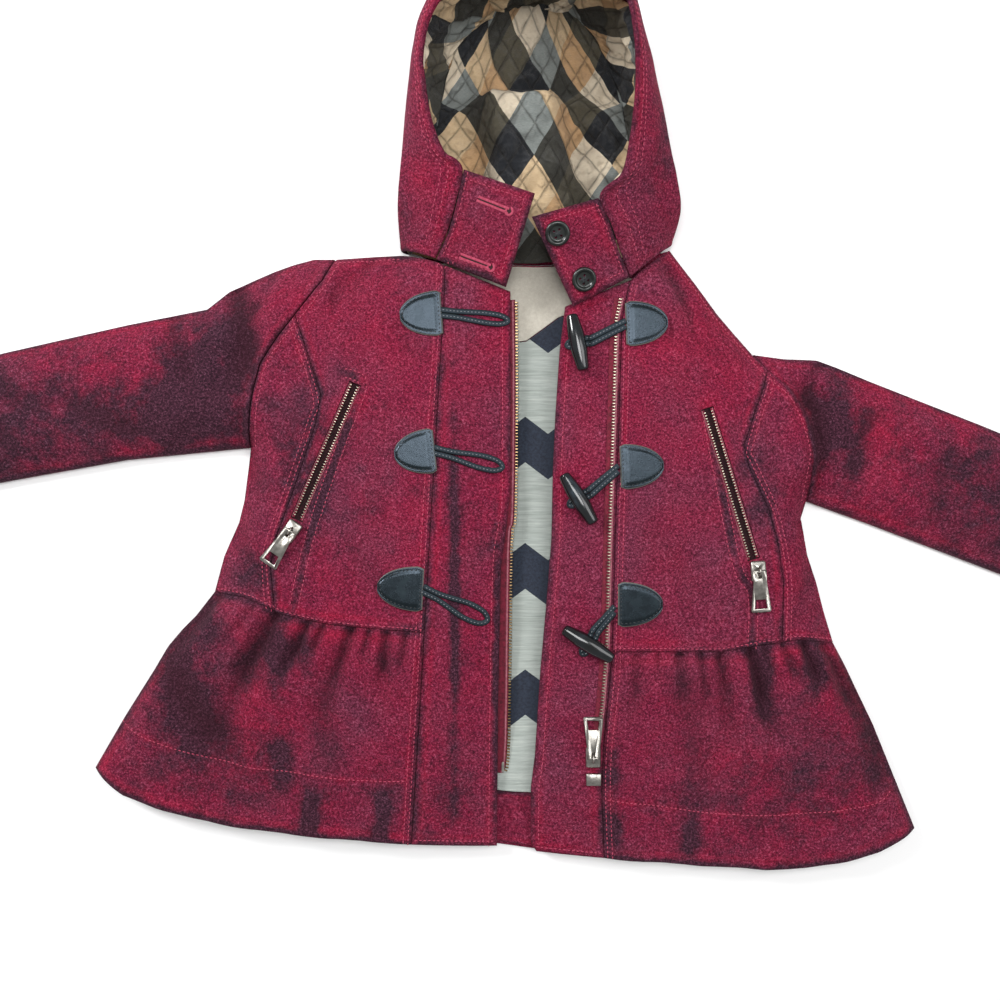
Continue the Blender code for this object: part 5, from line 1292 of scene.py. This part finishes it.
def hood_wall(name, first, last, quilt=False):
    """A stretch of the hood's wall, or of its lining."""
    depth, thick, finish = 0.0, WOOL, WOOL_CLOTH
    if quilt:
        depth, thick, finish = WOOL + HOOD_LINING_GAP, QUILTED_LINING, QUILT
    ring = length_of([hood_point(first + (last - first) * i / 12, 0.3) for i in range(13)])
    drop = length_of([hood_point((first + last) / 2, i / 12) for i in range(13)])

    def layer(inside):
        def at(u, v):
            place = mix(first, last, u)
            down = mix(facing_edge(place) if quilt else 0.0, 1.0, v)
            a, b = u * ring, v * drop
            edge = min(a, ring - a, b, drop - b)
            here = depth + (thick if inside else 0.0)
            rounding = edge_drop(edge, thick * EDGE_SHARE)
            fade = min(edge / 5.0, 1.0) * (1.0 - smooth((v - 0.86) / 0.14))
            if quilt:
                swell = (quilted(a + first * 18, b) * 1.7 + crumple(a + first * 18, b, first)) * fade
                here += swell if inside else swell * 0.2
            else:
                here -= (wrinkles(a, b, first + 50) * 0.8 + pucker(edge, a, b) * 0.8) * fade
            return inside_hood(place, down, here + (-rounding if inside else rounding))
        return at

    def marks(u, v):
        return from_edge(u, v, ring, drop), 0.0

    return slab(name, shares(ring), shares(drop), layer(False), layer(True), finish,
                None if quilt else marks)


def nape_tongue(x, y):
    """The loose fold of the back lining, with the steep sides of a real one."""
    sway = 4.0 * sin((y - 200) / 26.0)
    across = abs(x - sway - NAPE_FOLD_X) / (NAPE_FOLD_HALF + 3.0)
    plateau = 1.0 - smooth((across - 0.5) / 0.5)
    neck = BACK_NECK[3][1]
    centre = NAPE_FOLD_HEIGHT * smooth((min(y, NAPE_FOLD_CREST) - neck) / (NAPE_FOLD_CREST - neck))
    drop = smooth((y - NAPE_FOLD_CREST) / (NAPE_FOLD_END - NAPE_FOLD_CREST - 8.0))
    return centre * (1.0 - drop) * plateau * 1.05


def dress_hood():
    for side, first, last in (("right", 0.0, CENTRE_FIRST + HOOD_LAP),
                              ("centre", CENTRE_FIRST - HOOD_LAP, CENTRE_LAST + HOOD_LAP),
                              ("left", CENTRE_LAST - HOOD_LAP, float(LAST_PROFILE))):
        piece = hood_wall(f"wool_hood_{side}", first, last)
        cut_from(shade(piece), "folded", f"hood_{side}")
        piece = hood_wall(f"quilt_hood_{side}", first, last, quilt=True)
        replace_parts(piece, f"hood_lining_{side}")
    feet = [(row.foot_x, row.foot_y) for row in HOOD_PROFILES]
    drawn = drawn_in(feet, HOOD_FLOOR_GAP, Vector(HOOD_MIDDLE[:2]))
    neck = shifted(BACK_NECK[1:-1], y=HOOD_NECK_GAP)
    shade(flat_piece("wool_hood_back", drawn + neck[::-1], 0.0, WOOL, WOOL_CLOTH, "hood_back"))
    base = WOOL + GAP + QUILTED_LINING

    def level(x, y):
        off_x, off_y = (x - NAPE_MIDDLE[0]) / NAPE_REACH[0], (y - NAPE_MIDDLE[1]) / NAPE_REACH[1]
        inner = clamp(1.0 - hypot(off_x, off_y) ** 4)
        bumps = quilted(x + 13, y) * 1.8 + crumple(x, y, 7.0) * 1.5
        return base + nape_tongue(x, y) + bumps * inner

    piece = cloth("quilt_hood_back", feet[:10], feet[::-1][:10], [feet[0]] + neck + [feet[-1]],
                  feet[9:LAST_PROFILE - 8], level, QUILT, thick=QUILTED_LINING, rough=0.1, inset=0.3,
                  puckers=False)
    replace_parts(piece, "hood_lining_back")


def dress_tab(side):
    plan = tab_plan(side)
    width, long = tab_size(plan)

    def layer(drop):
        def at(u, v):
            point = plan(u, v)
            edge = from_edge(u, v, width, long)
            rounding = edge_drop(edge, 1.9)
            lift = (wrinkles(point.x, point.y, 70) * 0.35 - 0.3 * exp(-((edge - TOPSTITCH) / 1.3) ** 2))
            level = point.z + lift * min(edge / 5.0, 1.0) - drop + (rounding if drop else -rounding)
            return point.x, point.y, level
        return at

    def marks(u, v):
        return from_edge(u, v, width, long), 0.0

    piece = slab(f"wool_tab_{side}", shares(width, 2.0), shares(long, 2.0), layer(0.0), layer(DOUBLE_WOOL),
                 WOOL_CLOTH, marks)
    # The tab's edges are darker still: part wear, part painted shade.
    for value in piece.data.attributes["worn_and_shaded"].data:
        value.value *= 1.5
    cut_from(shade(piece), "folded", f"chin_tab_{side}")


# ---- sewing, laid on whatever cloth is under it

def ground_under(names):
    """Finds the uppermost face of the named pieces at a place of the plan."""
    points, faces = [], []
    for name in names:
        mesh = made_pieces[name].data
        start = len(points)
        points += [vert.co / MM for vert in mesh.vertices]
        faces += [[index + start for index in face.vertices] for face in mesh.polygons]
    tree = BVHTree.FromPolygons(points, faces)

    def at(x, y):
        place, normal, _, _ = tree.ray_cast(Vector((x, y, ABOVE_ALL)), Vector((0, 0, -1)))
        if place is None:
            return None
        return place, normal if normal.z > 0 else -normal
    return at


def offset_line(line, amount):
    """A line that runs beside another, to its left in plan when amount is positive."""
    points = [Vector(point[:2]) for point in softened([(*point[:2], 0) for point in line], 6)]
    return [point + heading(*neighbours(points, i))[1] * amount for i, point in enumerate(points)]


def walk(line, pitch):
    """Evenly spaced (point, direction) along a plan line."""
    carried = 0.0
    for a, b in zip(line, line[1:]):
        length = (b - a).length
        if length < 1e-6:
            continue
        direction = (b - a) / length
        place = pitch - carried
        while place <= length:
            yield a + direction * place, direction
            place += pitch
        carried = length - (place - pitch)


def add_stitch(points, faces, middle, direction, normal, length, radius):
    """One rounded stitch: a six-sided grain, sunk a little into the cloth at both ends."""
    across = normal.cross(direction).normalized()
    turns = [corner * pi / 3 for corner in range(6)]
    rings = []
    for share, size, sink in ((-0.5, 0.35, -0.8), (-0.25, 1.0, 0.35), (0.25, 1.0, 0.35), (0.5, 0.35, -0.8)):
        centre = middle + direction * length * share + normal * radius * sink
        rings.append([centre + (across * cos(turn) + normal * sin(turn)) * radius * size for turn in turns])
    loft(points, faces, rings)


def laid_on(normal, direction):
    """A plan direction, turned to lie on a face."""
    lie = Vector((direction.x, direction.y, 0.0))
    return (lie - normal * lie.dot(normal)).normalized()


def sew(name, lines, ground, finish, pitch=3.3, length=2.3, radius=0.36):
    """Stitches along plan lines."""
    points, faces = [], []
    for line in lines:
        for spot, direction in walk(line, pitch):
            found = ground(spot.x, spot.y)
            if found and found[1].z >= STEEPEST:
                add_stitch(points, faces, found[0], laid_on(found[1], direction), found[1], length, radius)
    return solid(name, points, faces, finish)


def fronts_sewing():
    """Double rows beside the seams, one row round the hem, bands and hood."""
    wool = [name for name in made_pieces if name.startswith("wool_")
            and not name.startswith(("wool_back", "wool_sleeve_under", "wool_hem"))]
    ground = ground_under(wool)
    rows = []
    for lines in PLAN.values():
        sign = -lines.out
        for offset in (NEAR_STITCH, TOPSTITCH):
            rows.append(offset_line(lines.princess, -sign * offset))
            rows.append(offset_line(lines.band_seam, -sign * offset))
        for line, offset in (
            (lines.band_edge, -sign * TOPSTITCH), (lines.hem_stitches, 0.0), (lines.pocket_border, -3.2),
            (lines.pocket_border, 3.2), (lines.band_hem, sign * 4.0), (lines.waist, sign * NEAR_STITCH),
            (lines.shoulder, sign * 4.0), (chain(lines.upper, lines.lower), sign * 4.5),
        ):
            rows.append(offset_line(line, offset))
    sew("stitches_fronts", rows, ground, THREAD)
    rows = []
    for side in SIDES:
        plan = tab_plan(side)
        width, long = tab_size(plan)
        du, dv = TAB_STITCH / width, TAB_STITCH / long
        rows.append([plan(du * 1.4, mix(dv, 1 - dv, i / 20)).xy for i in range(21)])
        du, dv = TOPSTITCH / width, TOPSTITCH / long
        path = [(mix(0.06, 1 - du, i / 20), dv) for i in range(21)]
        path += [(1 - du, mix(dv, 1 - dv, i / 20)) for i in range(1, 21)]
        path += [(mix(1 - du, 0.06, i / 20), 1 - dv) for i in range(1, 21)]
        rows.append([plan(u, v).xy for u, v in path])
    sew("stitches_tabs", rows, ground, THREAD)
    rows = [[hood_point(0.4 + 23.2 * i / 150, down).xy for i in range(151)] for down in (0.09, 0.14)]
    sew("stitches_hood", rows, ground, THREAD)


def buttonhole(bar, eye):
    """The rim of a keyhole buttonhole: a slot with a round eye."""
    bar, eye = Vector(bar), Vector(eye)
    ahead, aside = heading(bar, eye)
    length = (eye - bar).length
    rim = [bar + ahead * length * step / 24 + aside * SLOT_HALF for step in range(25)]
    for step in range(1, 16):
        turn = radians(90 - 18 * step)
        rim.append(eye + ahead * (EYE_RADIUS * cos(turn) + EYE_RADIUS / 2) + aside * EYE_RADIUS * sin(turn))
    return rim + [eye - ahead * length * step / 24 - aside * SLOT_HALF for step in range(25)]


def dress_buttonholes():
    """Slots edged in close stitches; each slot is a dark sheet of painted shade."""
    ground = ground_under(["wool_tab_right"])
    points, faces, slot_points, slot_faces = [], [], [], []
    for bar, eye in BUTTONHOLES:
        rim = buttonhole(bar, eye)
        for i, spot in enumerate(rim):
            ahead, aside = heading(*neighbours(rim, i))
            for part in (0.0, 0.5):
                found = ground(*(spot + ahead * part * 0.8))
                if found:
                    add_stitch(points, faces, found[0], laid_on(found[1], aside), found[1], 2.3, 0.42)
        middle = sum(rim, Vector((0, 0))) / len(rim)
        face = [ground(*spot.lerp(middle, 0.02))[0] + Vector((0, 0, 0.12)) for spot in rim]
        loft(slot_points, slot_faces, [[point - Vector((0, 0, 0.5)) for point in face], face])
    solid("buttonhole_stitches", points, faces, THREAD)
    solid("buttonhole_slit_shade", slot_points, slot_faces, POCKETING)


# ---- leather

def patch_half(reach):
    """Half the patch's width at a share of its length, full at the straight edge and round at the tip."""
    return PATCH_WIDTH / 2 * max(1.0 - reach ** 2.3, 0.0) ** 0.52


def dress_patch(name, patch):
    turn = radians(patch.turn)
    root, ahead, aside = Vector(patch[:2]), Vector((cos(turn), sin(turn))), Vector((-sin(turn), cos(turn)))
    us, vs = shares(patch.length, 1.3), shares(PATCH_WIDTH, 1.3)

    def place(u, v):
        reach = PATCH_REACH * sin(u * pi / 2)
        half = patch_half(reach) * (1.0 - 0.1 * (1.0 - smooth(reach / 0.12)))
        spot = root + ahead * reach * patch.length + aside * half * (2 * v - 1)
        inside = min(reach * patch.length, half * min(v, 1 - v) * 2,
                     (PATCH_REACH - reach) * patch.length + half * 0.4)
        return spot, max(inside, 0.0)

    def face(lift, rounding):
        def at(u, v):
            spot, inside = place(u, v)
            pad = PATCH_PAD * smooth(inside / 5.0)
            pad -= PATCH_TRENCH * exp(-((inside - PATCH_STITCH) / 0.8) ** 2)
            level = front_top(*spot) + lift + (pad if rounding < 0 else 0.0)
            return spot.x, spot.y, level + rounding * edge_drop(inside, 0.8)
        return at

    piece = slab(f"leather_patch_{name}", us, vs, face(GAP + LEATHER, -1), face(GAP, 1), LEATHER_HIDE)
    edges = [0.75 * (1.0 - smooth(place(u, v)[1] / 0.9)) for v in vs for u in us]
    write(piece.data, "edge", edges + [0.6] * len(edges))
    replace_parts(piece, f"patch_{name}")
    rim = []
    narrowed = 1.0 - 2 * PATCH_STITCH / PATCH_WIDTH
    for k in range(61):
        angle = pi * (k / 60 - 0.5)
        spread = patch_half(cos(angle)) * narrowed * (1 if sin(angle) > 0 else -1)
        rim.append(root + ahead * (cos(angle) * (patch.length - PATCH_STITCH)) + aside * spread)
    straight = [root + ahead * 2.2 + aside * (PATCH_WIDTH / 2 - PATCH_STITCH) * share
                for share in (1.0, 0.5, 0.0, -0.5, -1.0)]
    sew(f"stitches_patch_{name}", [rim, straight], ground_under([f"leather_patch_{name}"]), DARK_THREAD,
        3.0, 2.0, 0.34)


def strap(kind, name, route):
    """A flat leather strap along a route, its edges rounded."""
    section = []
    for step in range(12):
        angle = 2 * pi * (step + 0.5) / 12
        section.append([copysign(abs(share) ** 0.5, share) for share in (cos(angle), sin(angle))])
    rings = []
    for index, spot in enumerate(route):
        behind, beyond = neighbours(route, index)
        ahead = beyond - behind
        aside = Vector((-ahead.y, ahead.x, 0.0)).normalized()
        rings.append([spot + aside * (across * STRAP_WIDE / 2) + Vector((0, 0, up * STRAP_THICK / 2))
                      for across, up in section])
    points, faces = [], []
    loft(points, faces, rings)
    name = f"leather_{kind}_{name}"
    strap_lines[name] = [spot.xy for spot in route]
    return solid(name, points, faces, STRAP_HIDE)


def dress_loop(name, loop):
    patch = PATCHES[name]
    start, end = Vector(patch[:2]), Vector(loop[:2])
    ahead, aside = heading(start, end)
    start += ahead * strap_start(patch, ahead)
    half = max(loop.spread / 2, STRAP_WIDE * 0.85)
    side = STRAP_WIDE / 2 + 0.1
    route = ((-0.06, side), (0.2, side), (0.42, mix(side, half, 0.5)), (0.64, half), (0.84, half * 0.95),
             (0.95, half * 0.6))
    strand = [(start.lerp(end, share), offset) for share, offset in route]
    plan = [spot + aside * offset for spot, offset in strand] + [end]
    plan += [spot - aside * offset for spot, offset in strand[::-1]]
    level = GAP + STRAP_THICK / 2
    path = softened([(p.x, p.y, front_top(p.x, p.y) + level) for p in plan])
    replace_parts(strap("loop", name, path), f"loop_{name}")


def sew_straps():
    """The flat straps are stitched along their length."""
    sew("stitches_straps", strap_lines.values(), ground_under(strap_lines), GREY_THREAD, 2.6, 1.5, 0.26)


def dress_toggle_cord(name, toggle):
    patch = PATCHES[name]
    start, middle = Vector(patch[:2]), Vector(toggle[:2])
    ahead, _ = heading(start, middle)
    start += ahead * (strap_start(patch, ahead) - 1.6)
    turn = radians(toggle.turn)
    axis = Vector((cos(turn), sin(turn)))
    if axis.y > 0:
        axis = -axis
    over = Vector((axis.y, -axis.x))
    edge = Vector((0.0, -1.0))
    base = front_top(middle.x, middle.y) + TOGGLE_LIFT
    near = middle - over * 10.0
    half = STRAP_WIDE / 2 + 0.1
    strand = []
    for share in (0.0, 0.5, 1.0):
        spot = start.lerp(near, share)
        lift = front_top(spot.x, spot.y) + STRAP_THICK / 2 + CORD_LIFT
        strand.append((spot, edge.lerp(axis, share), lift))
    for reach in (-TOGGLE_BELLY, 0.0, TOGGLE_BELLY):
        strand.append((middle + over * reach, axis, base - 0.5))
    points = [(*(spot + side * half), height) for spot, side, height in strand]
    far = middle + over * (TOGGLE_BELLY + 2.6)
    points.append((far.x, far.y, base - 1.4))
    points += [(*(spot - side * half), height) for spot, side, height in strand[::-1]]
    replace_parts(strap("cord", name, softened(points, 4)), f"toggle_cord_{name}")


# ---- horn and resin

def tilted(height, x, y, turn, lift):
    """A place on a surface: Z along its normal, X turned by so many degrees in plan."""
    step = 2.0
    z = height(x, y)
    slope_x = (height(x + step, y) - height(x - step, y)) / (2 * step)
    slope_y = (height(x, y + step) - height(x, y - step)) / (2 * step)
    up = Vector((-slope_x, -slope_y, 1.0)).normalized()
    ahead = laid_on(up, Vector((cos(radians(turn)), sin(radians(turn)))))
    aside = up.cross(ahead)
    rotation = Matrix((ahead, aside, up)).transposed().to_4x4()
    return Matrix.Translation((Vector((x, y, z)) + up * lift) * MM) @ rotation


def lathe(profile, steps):
    """A smooth profile of (radius, height) turned about Z."""
    mesh = bpy.data.meshes.new("lathe")
    with editing(mesh) as bm:
        rings = []
        for radius, height in profile:
            turns = [2 * pi * i / steps for i in range(1 if radius < 0.01 else steps)]
            reach = 0.0 if radius < 0.01 else radius * MM
            rings.append([bm.verts.new((reach * cos(turn), reach * sin(turn), height * MM))
                          for turn in turns])
        for a, b in zip(rings, rings[1:]):
            for i in range(steps):
                j = (i + 1) % steps
                if len(a) == 1:
                    bm.faces.new((a[0], b[i], b[j]))
                elif len(b) == 1:
                    bm.faces.new((a[i], b[0], a[j]))
                else:
                    bm.faces.new((a[i], b[i], b[j], a[j]))
    return mesh


def rounded_profile(points, parts=4):
    return [(max(p.x, 0.0), p.y) for p in softened([(*point, 0) for point in points], parts)]


def dress_toggles():
    half = TOGGLE_LENGTH / 2
    upper = [(0, half), (2.2, half - 0.1), (TOGGLE_END - 0.4, half - 0.8), (TOGGLE_END + 0.3, half - 2.4),
             (5.2, half - 8.5), (6.0, half - 14.5), (TOGGLE_BELLY, 0.0)]
    profile = rounded_profile(upper + [(radius, -height) for radius, height in upper[:-1][::-1]])
    for name, toggle in TOGGLES.items():
        place = tilted(front_top, toggle.x, toggle.y, toggle.turn, TOGGLE_LIFT)
        mesh = lathe(profile, 40)
        for vert in mesh.vertices:
            grain = noise.noise(vert.co / MM / 9.0 + Vector((toggle.x, 0, 0)))
            vert.co.x += grain * 0.25 * MM
        mesh.transform(place @ Matrix.Rotation(pi / 2, 4, "Y"))
        piece = keep(f"horn_toggle_{name}", mesh, HORN)
        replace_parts(piece, f"toggle_{name}")


def tab_height(side):
    face = tab_plan(side)

    def at(x, y):
        u, v, reach = 0.5, 0.5, 0.5
        for _ in range(14):
            tries = [(min(max(u + i * reach / 2, 0), 1), min(max(v + j * reach / 2, 0), 1))
                     for i in (-1, 0, 1) for j in (-1, 0, 1)]
            u, v = min(tries, key=lambda at_uv: (face(*at_uv).xy - Vector((x, y))).length)
            reach *= 0.7
        return face(u, v).z

    return at


def dress_buttons():
    profile = [(0, 1.9), (3.6, 1.9), (5.2, 2.05), (6.0, 2.75), (6.8, 3.2), (7.8, 3.15), (8.6, 2.5),
               (BUTTON_RADIUS, 1.7), (8.4, 0.7), (6.6, 0.1), (0, 0.0)]
    height = tab_height("left")
    for number, (x, y) in enumerate(BUTTONS, 1):
        place = tilted(height, x, y, 20.0 * number, BUTTON_LIFT)
        holes = bpy.data.meshes.new("holes")
        with editing(holes) as bm:
            for i, j in ((-1, -1), (-1, 1), (1, -1), (1, 1)):
                spot = Matrix.Translation(Vector((i, j, 1.0)) * BUTTON_HOLE_OFFSET * MM)
                bmesh.ops.create_cone(bm, cap_ends=True, segments=14, radius1=BUTTON_HOLE_RADIUS * MM,
                                      radius2=BUTTON_HOLE_RADIUS * MM, depth=8 * MM, matrix=spot)
        mesh = cut_mesh(linked("holder", lathe(rounded_profile(profile), 56)), linked("cutter", holes))
        mesh.transform(place)
        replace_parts(keep(f"resin_button_{number}", mesh, RESIN), f"button_{number}")
        points, faces = [], []
        for sign in (-1, 1):
            for offset in (-0.7, 0.7):
                add_stitch(points, faces, Vector((offset, 0.0, 2.15)), Vector((1.0, sign, 0.0)).normalized(),
                           Vector((0, 0, 1)), BUTTON_HOLE_OFFSET * 2.8, 0.4)
        solid(f"button_thread_{number}", points, faces, DARK_THREAD, place)


def cut_mesh(target, cutter):
    """The target's mesh with the cutter taken out."""
    step = target.modifiers.new("cut", "BOOLEAN")
    step.operation = "DIFFERENCE"
    step.solver = "EXACT"
    step.object = cutter
    return applied(target, cutter)


# ---- zips

def box_mesh(size, bevel=0.0):
    mesh = bpy.data.meshes.new("box")
    with editing(mesh) as bm:
        bmesh.ops.create_cube(bm, size=1.0)
        bmesh.ops.scale(bm, vec=Vector(size) * MM, verts=bm.verts)
        if bevel:
            bmesh.ops.bevel(bm, geom=bm.edges[:], offset=bevel * MM, segments=2, affect="EDGES")
    return mesh


def cut_pocket(panel, side):
    """Cuts the pocket's slit through the dressed front."""
    top, bottom = map(Vector, POCKETS[side])
    ahead, _ = heading(top, bottom)
    middle = top.lerp(bottom, 0.5)
    cutter = linked("cutter", box_mesh(((bottom - top).length, POCKET_SLIT, 60.0)))
    cutter.matrix_world = (Matrix.Translation((*(middle * MM), front_top(*middle) * MM))
                           @ Matrix.Rotation(atan2(ahead.y, ahead.x), 4, "Z"))
    holder = linked("holder", panel.data.copy())
    bpy.context.view_layer.update()
    mesh = cut_mesh(holder, cutter)
    mesh.materials.clear()
    mesh.materials.append(WOOL_CLOTH.material)
    panel.data = mesh


def teeth(name, lines, height, size, pitch, finish):
    """Small metal teeth along plan lines. size is across, along and up."""
    points, faces = [], []
    for line in lines:
        for spot, ahead in walk(line, pitch):
            middle = Vector((*spot, height(*spot)))
            across, ahead = Vector((-ahead.y, ahead.x, 0.0)), Vector((ahead.x, ahead.y, 0.0))
            rings = []
            for up, shrink in TOOTH_RINGS:
                rings.append([middle + across * size[0] / 2 * i * shrink + ahead * size[1] / 2 * j * shrink
                              + Vector((0, 0, size[2] * up)) for i, j in CORNERS])
            loft(points, faces, rings)
    solid(name, points, faces, finish)


def tape(name, inner, outer, height, pink, node):
    """A zip tape, its woven edge pink over a span given in millimetres from the inner line."""
    piece = cloth(name, inner, outer, [inner[0], outer[0]], [inner[-1], outer[-1]], height, WINE_TAPE,
                  thick=TAPE, rough=0.12, puckers=False, inset=0.02, step=0.62)
    flat = [place.vector.x for place in piece.data.attributes["flat"].data]
    edges = [smooth(0.5 + min(x - pink[0], pink[1] - x)) for x in flat]
    write(piece.data, "edge", edges)
    for vert, edge in zip(piece.data.vertices, edges[:len(edges) // 2]):
        vert.co.z += TAPE_EDGE_RISE * MM * edge
    width, length, area = piece["cut"]
    piece["cut"] = (max(width, 0.0101), length, area)
    return cut_from(piece, "laid", node)


def dress_main_zip():
    under = [tuple(p)[:2] for p in softened([(x, y, 0) for x, y in ZIP_RIGHT_EDGE[::-1]], 4)]

    def level(x, y):
        return front_top(x, y) - DOUBLE_WOOL - ZIP_RIGHT_DROP

    def over(x, y):
        return front_top(x, y) + GAP + TAPE

    wide = ZIP_RIGHT_WIDTH
    tape("tape_zip_right", shifted(under, x=-wide), under, level, (wide - 1.9, wide - 1.0), "zip_tape_right")
    seam = cut_line(PLAN["left"].band_seam, ZIP_LEFT_END, ZIP_LEFT_TOP)
    wide = ZIP_LEFT_WIDTH
    tape("tape_zip_left", shifted(seam, x=-wide - 1.6), shifted(seam, x=-1.6), over, (5.3, 6.6),
         "zip_tape_left")
    right = [Vector(p) for p in shifted(under, x=0.7)]
    left = [Vector(p) for p in shifted(seam, x=-4.2)]
    teeth("teeth_zip_right", [right], lambda x, y: level(x - 0.8, y) + 0.1, TOOTH_RIGHT, ZIP_PITCH, BRONZE)
    teeth("teeth_zip_left", [left], lambda x, y: over(x, y) + 0.7, TOOTH_LEFT, ZIP_PITCH, TEETH)
    pin = box_mesh((1.9, 8.0, 2.0), 0.5)
    x, y = ZIP_PIN
    pin.transform(Matrix.Translation(Vector((x, y, level(x - 3, y) + 0.4)) * MM))
    keep("zip_pin", pin, NICKEL)


def dress_pocket(side):
    top, bottom = map(Vector, POCKETS[side])
    length = (bottom - top).length
    ahead, aside = heading(top, bottom)

    def line(offset, trim=0.8):
        return [tuple(top + ahead * mix(trim, length - trim, i / 12) + aside * offset)
                for i in range(12, -1, -1)]

    def depth(x, y):
        return front_top(x, y) - POCKET_TAPE_DEPTH

    reach = POCKET_SLIT / 2 - GAP
    for number, sign in ((1, -1), (2, 1)):
        low, high = sorted((sign * reach, sign * (reach - POCKET_TAPE)))
        pink = (0.0, 0.7) if sign < 0 else (POCKET_TAPE - 0.7, POCKET_TAPE)
        tape(f"tape_pocket_{side}_{number}", line(low), line(high), depth, pink,
             f"pocket_tape_{side}_{number}")
    margin = POCKET_SLIT / 2 + POCKET_BAG_MARGIN
    low, high = line(-margin, -6.0), line(margin, -6.0)
    piece = cloth(f"pocket_bag_of_{side}", low, high, [low[0], high[0]], [low[-1], high[-1]],
                  lambda x, y: front_top(x, y) - WOOL - GAP * 2, POCKETING, thick=LINING, rough=0.1,
                  puckers=False, step=4.0)
    cut_from(piece, "laid", f"pocket_bag_{side}")
    edge = reach - POCKET_TAPE + 0.35
    rows = [[Vector(point) for point in line(offset, 1.2)] for offset in (-edge, edge)]
    teeth(f"teeth_pocket_{side}", rows, lambda x, y: depth(x, y) + 0.2, TOOTH_POCKET, POCKET_PITCH, TEETH)


def refined(node, width, body="coat"):
    """A metal piece with its edges eased."""
    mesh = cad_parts[node].data.copy()
    with editing(mesh) as bm:
        bmesh.ops.remove_doubles(bm, verts=bm.verts, dist=2e-6)
        bmesh.ops.dissolve_limit(bm, angle_limit=0.02, verts=bm.verts, edges=bm.edges)
        sharp = [edge for edge in bm.edges if edge.is_manifold and edge.calc_face_angle(0.0) > 0.6]
        bmesh.ops.bevel(bm, geom=sharp, offset=width * MM, segments=2, affect="EDGES", clamp_overlap=True)
    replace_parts(keep(f"nickel_{node}", mesh, NICKEL, body), node)


def dress_metal():
    refined("zip_slider", SLIDER_EDGE)
    refined("zip_box", SLIDER_EDGE)
    refined("zip_pull", PULL_EDGE, "main_zip_pull")
    for side in SIDES:
        refined(f"pocket_slider_{side}", SLIDER_EDGE)
        refined(f"pocket_pull_{side}", PULL_EDGE, f"{side}_pocket_pull")


# ---- camera, light and floor

def place_camera():
    camera = linked("camera", bpy.data.cameras.new("camera"))
    camera.data.lens = LENS
    camera.data.sensor_width = SENSOR_WIDTH
    camera.location = CAMERA_PLACE
    bpy.context.scene.camera = camera


def set_stage():
    mesh = bpy.data.meshes.new("floor")
    mesh.from_pydata([(x * FLOOR_REACH, y * FLOOR_REACH, 0) for x, y in CORNERS], [], [(0, 1, 2, 3)])
    mesh.materials.append(PAPER.material)
    floor = linked("floor", mesh)
    floor.location.z = FLOOR_LEVEL
    world = bpy.data.worlds.new("studio")
    bpy.context.scene.world = world
    world.use_nodes = True
    backdrop = world.node_tree.nodes["Background"].inputs
    backdrop["Color"].default_value = (1.0, 1.0, 1.0, 1.0)
    backdrop["Strength"].default_value = AMBIENT
    for name, (place, size, power) in LIGHTS.items():
        light = bpy.data.lights.new(name, "AREA")
        light.shape = "DISK"
        light.size = size
        light.energy = power
        lamp = linked(name, light)
        lamp.location = place
        lamp.rotation_euler = (-Vector(place)).to_track_quat("-Z", "Y").to_euler()
    bpy.context.scene.view_settings.view_transform = "Standard"


# ---- all of it

place_camera()
set_stage()
dress_back()
dress_lining()
for half in SIDES:
    dress_front(half)
    dress_sleeve(half)
    dress_tab(half)
    dress_pocket(half)
dress_hood()
dress_main_zip()
fronts_sewing()
dress_buttonholes()
for key, patch in PATCHES.items():
    dress_patch(key, patch)
for key, loop in LOOPS.items():
    dress_loop(key, loop)
for key, toggle in TOGGLES.items():
    dress_toggle_cord(key, toggle)
sew_straps()
dress_toggles()
dress_buttons()
dress_metal()
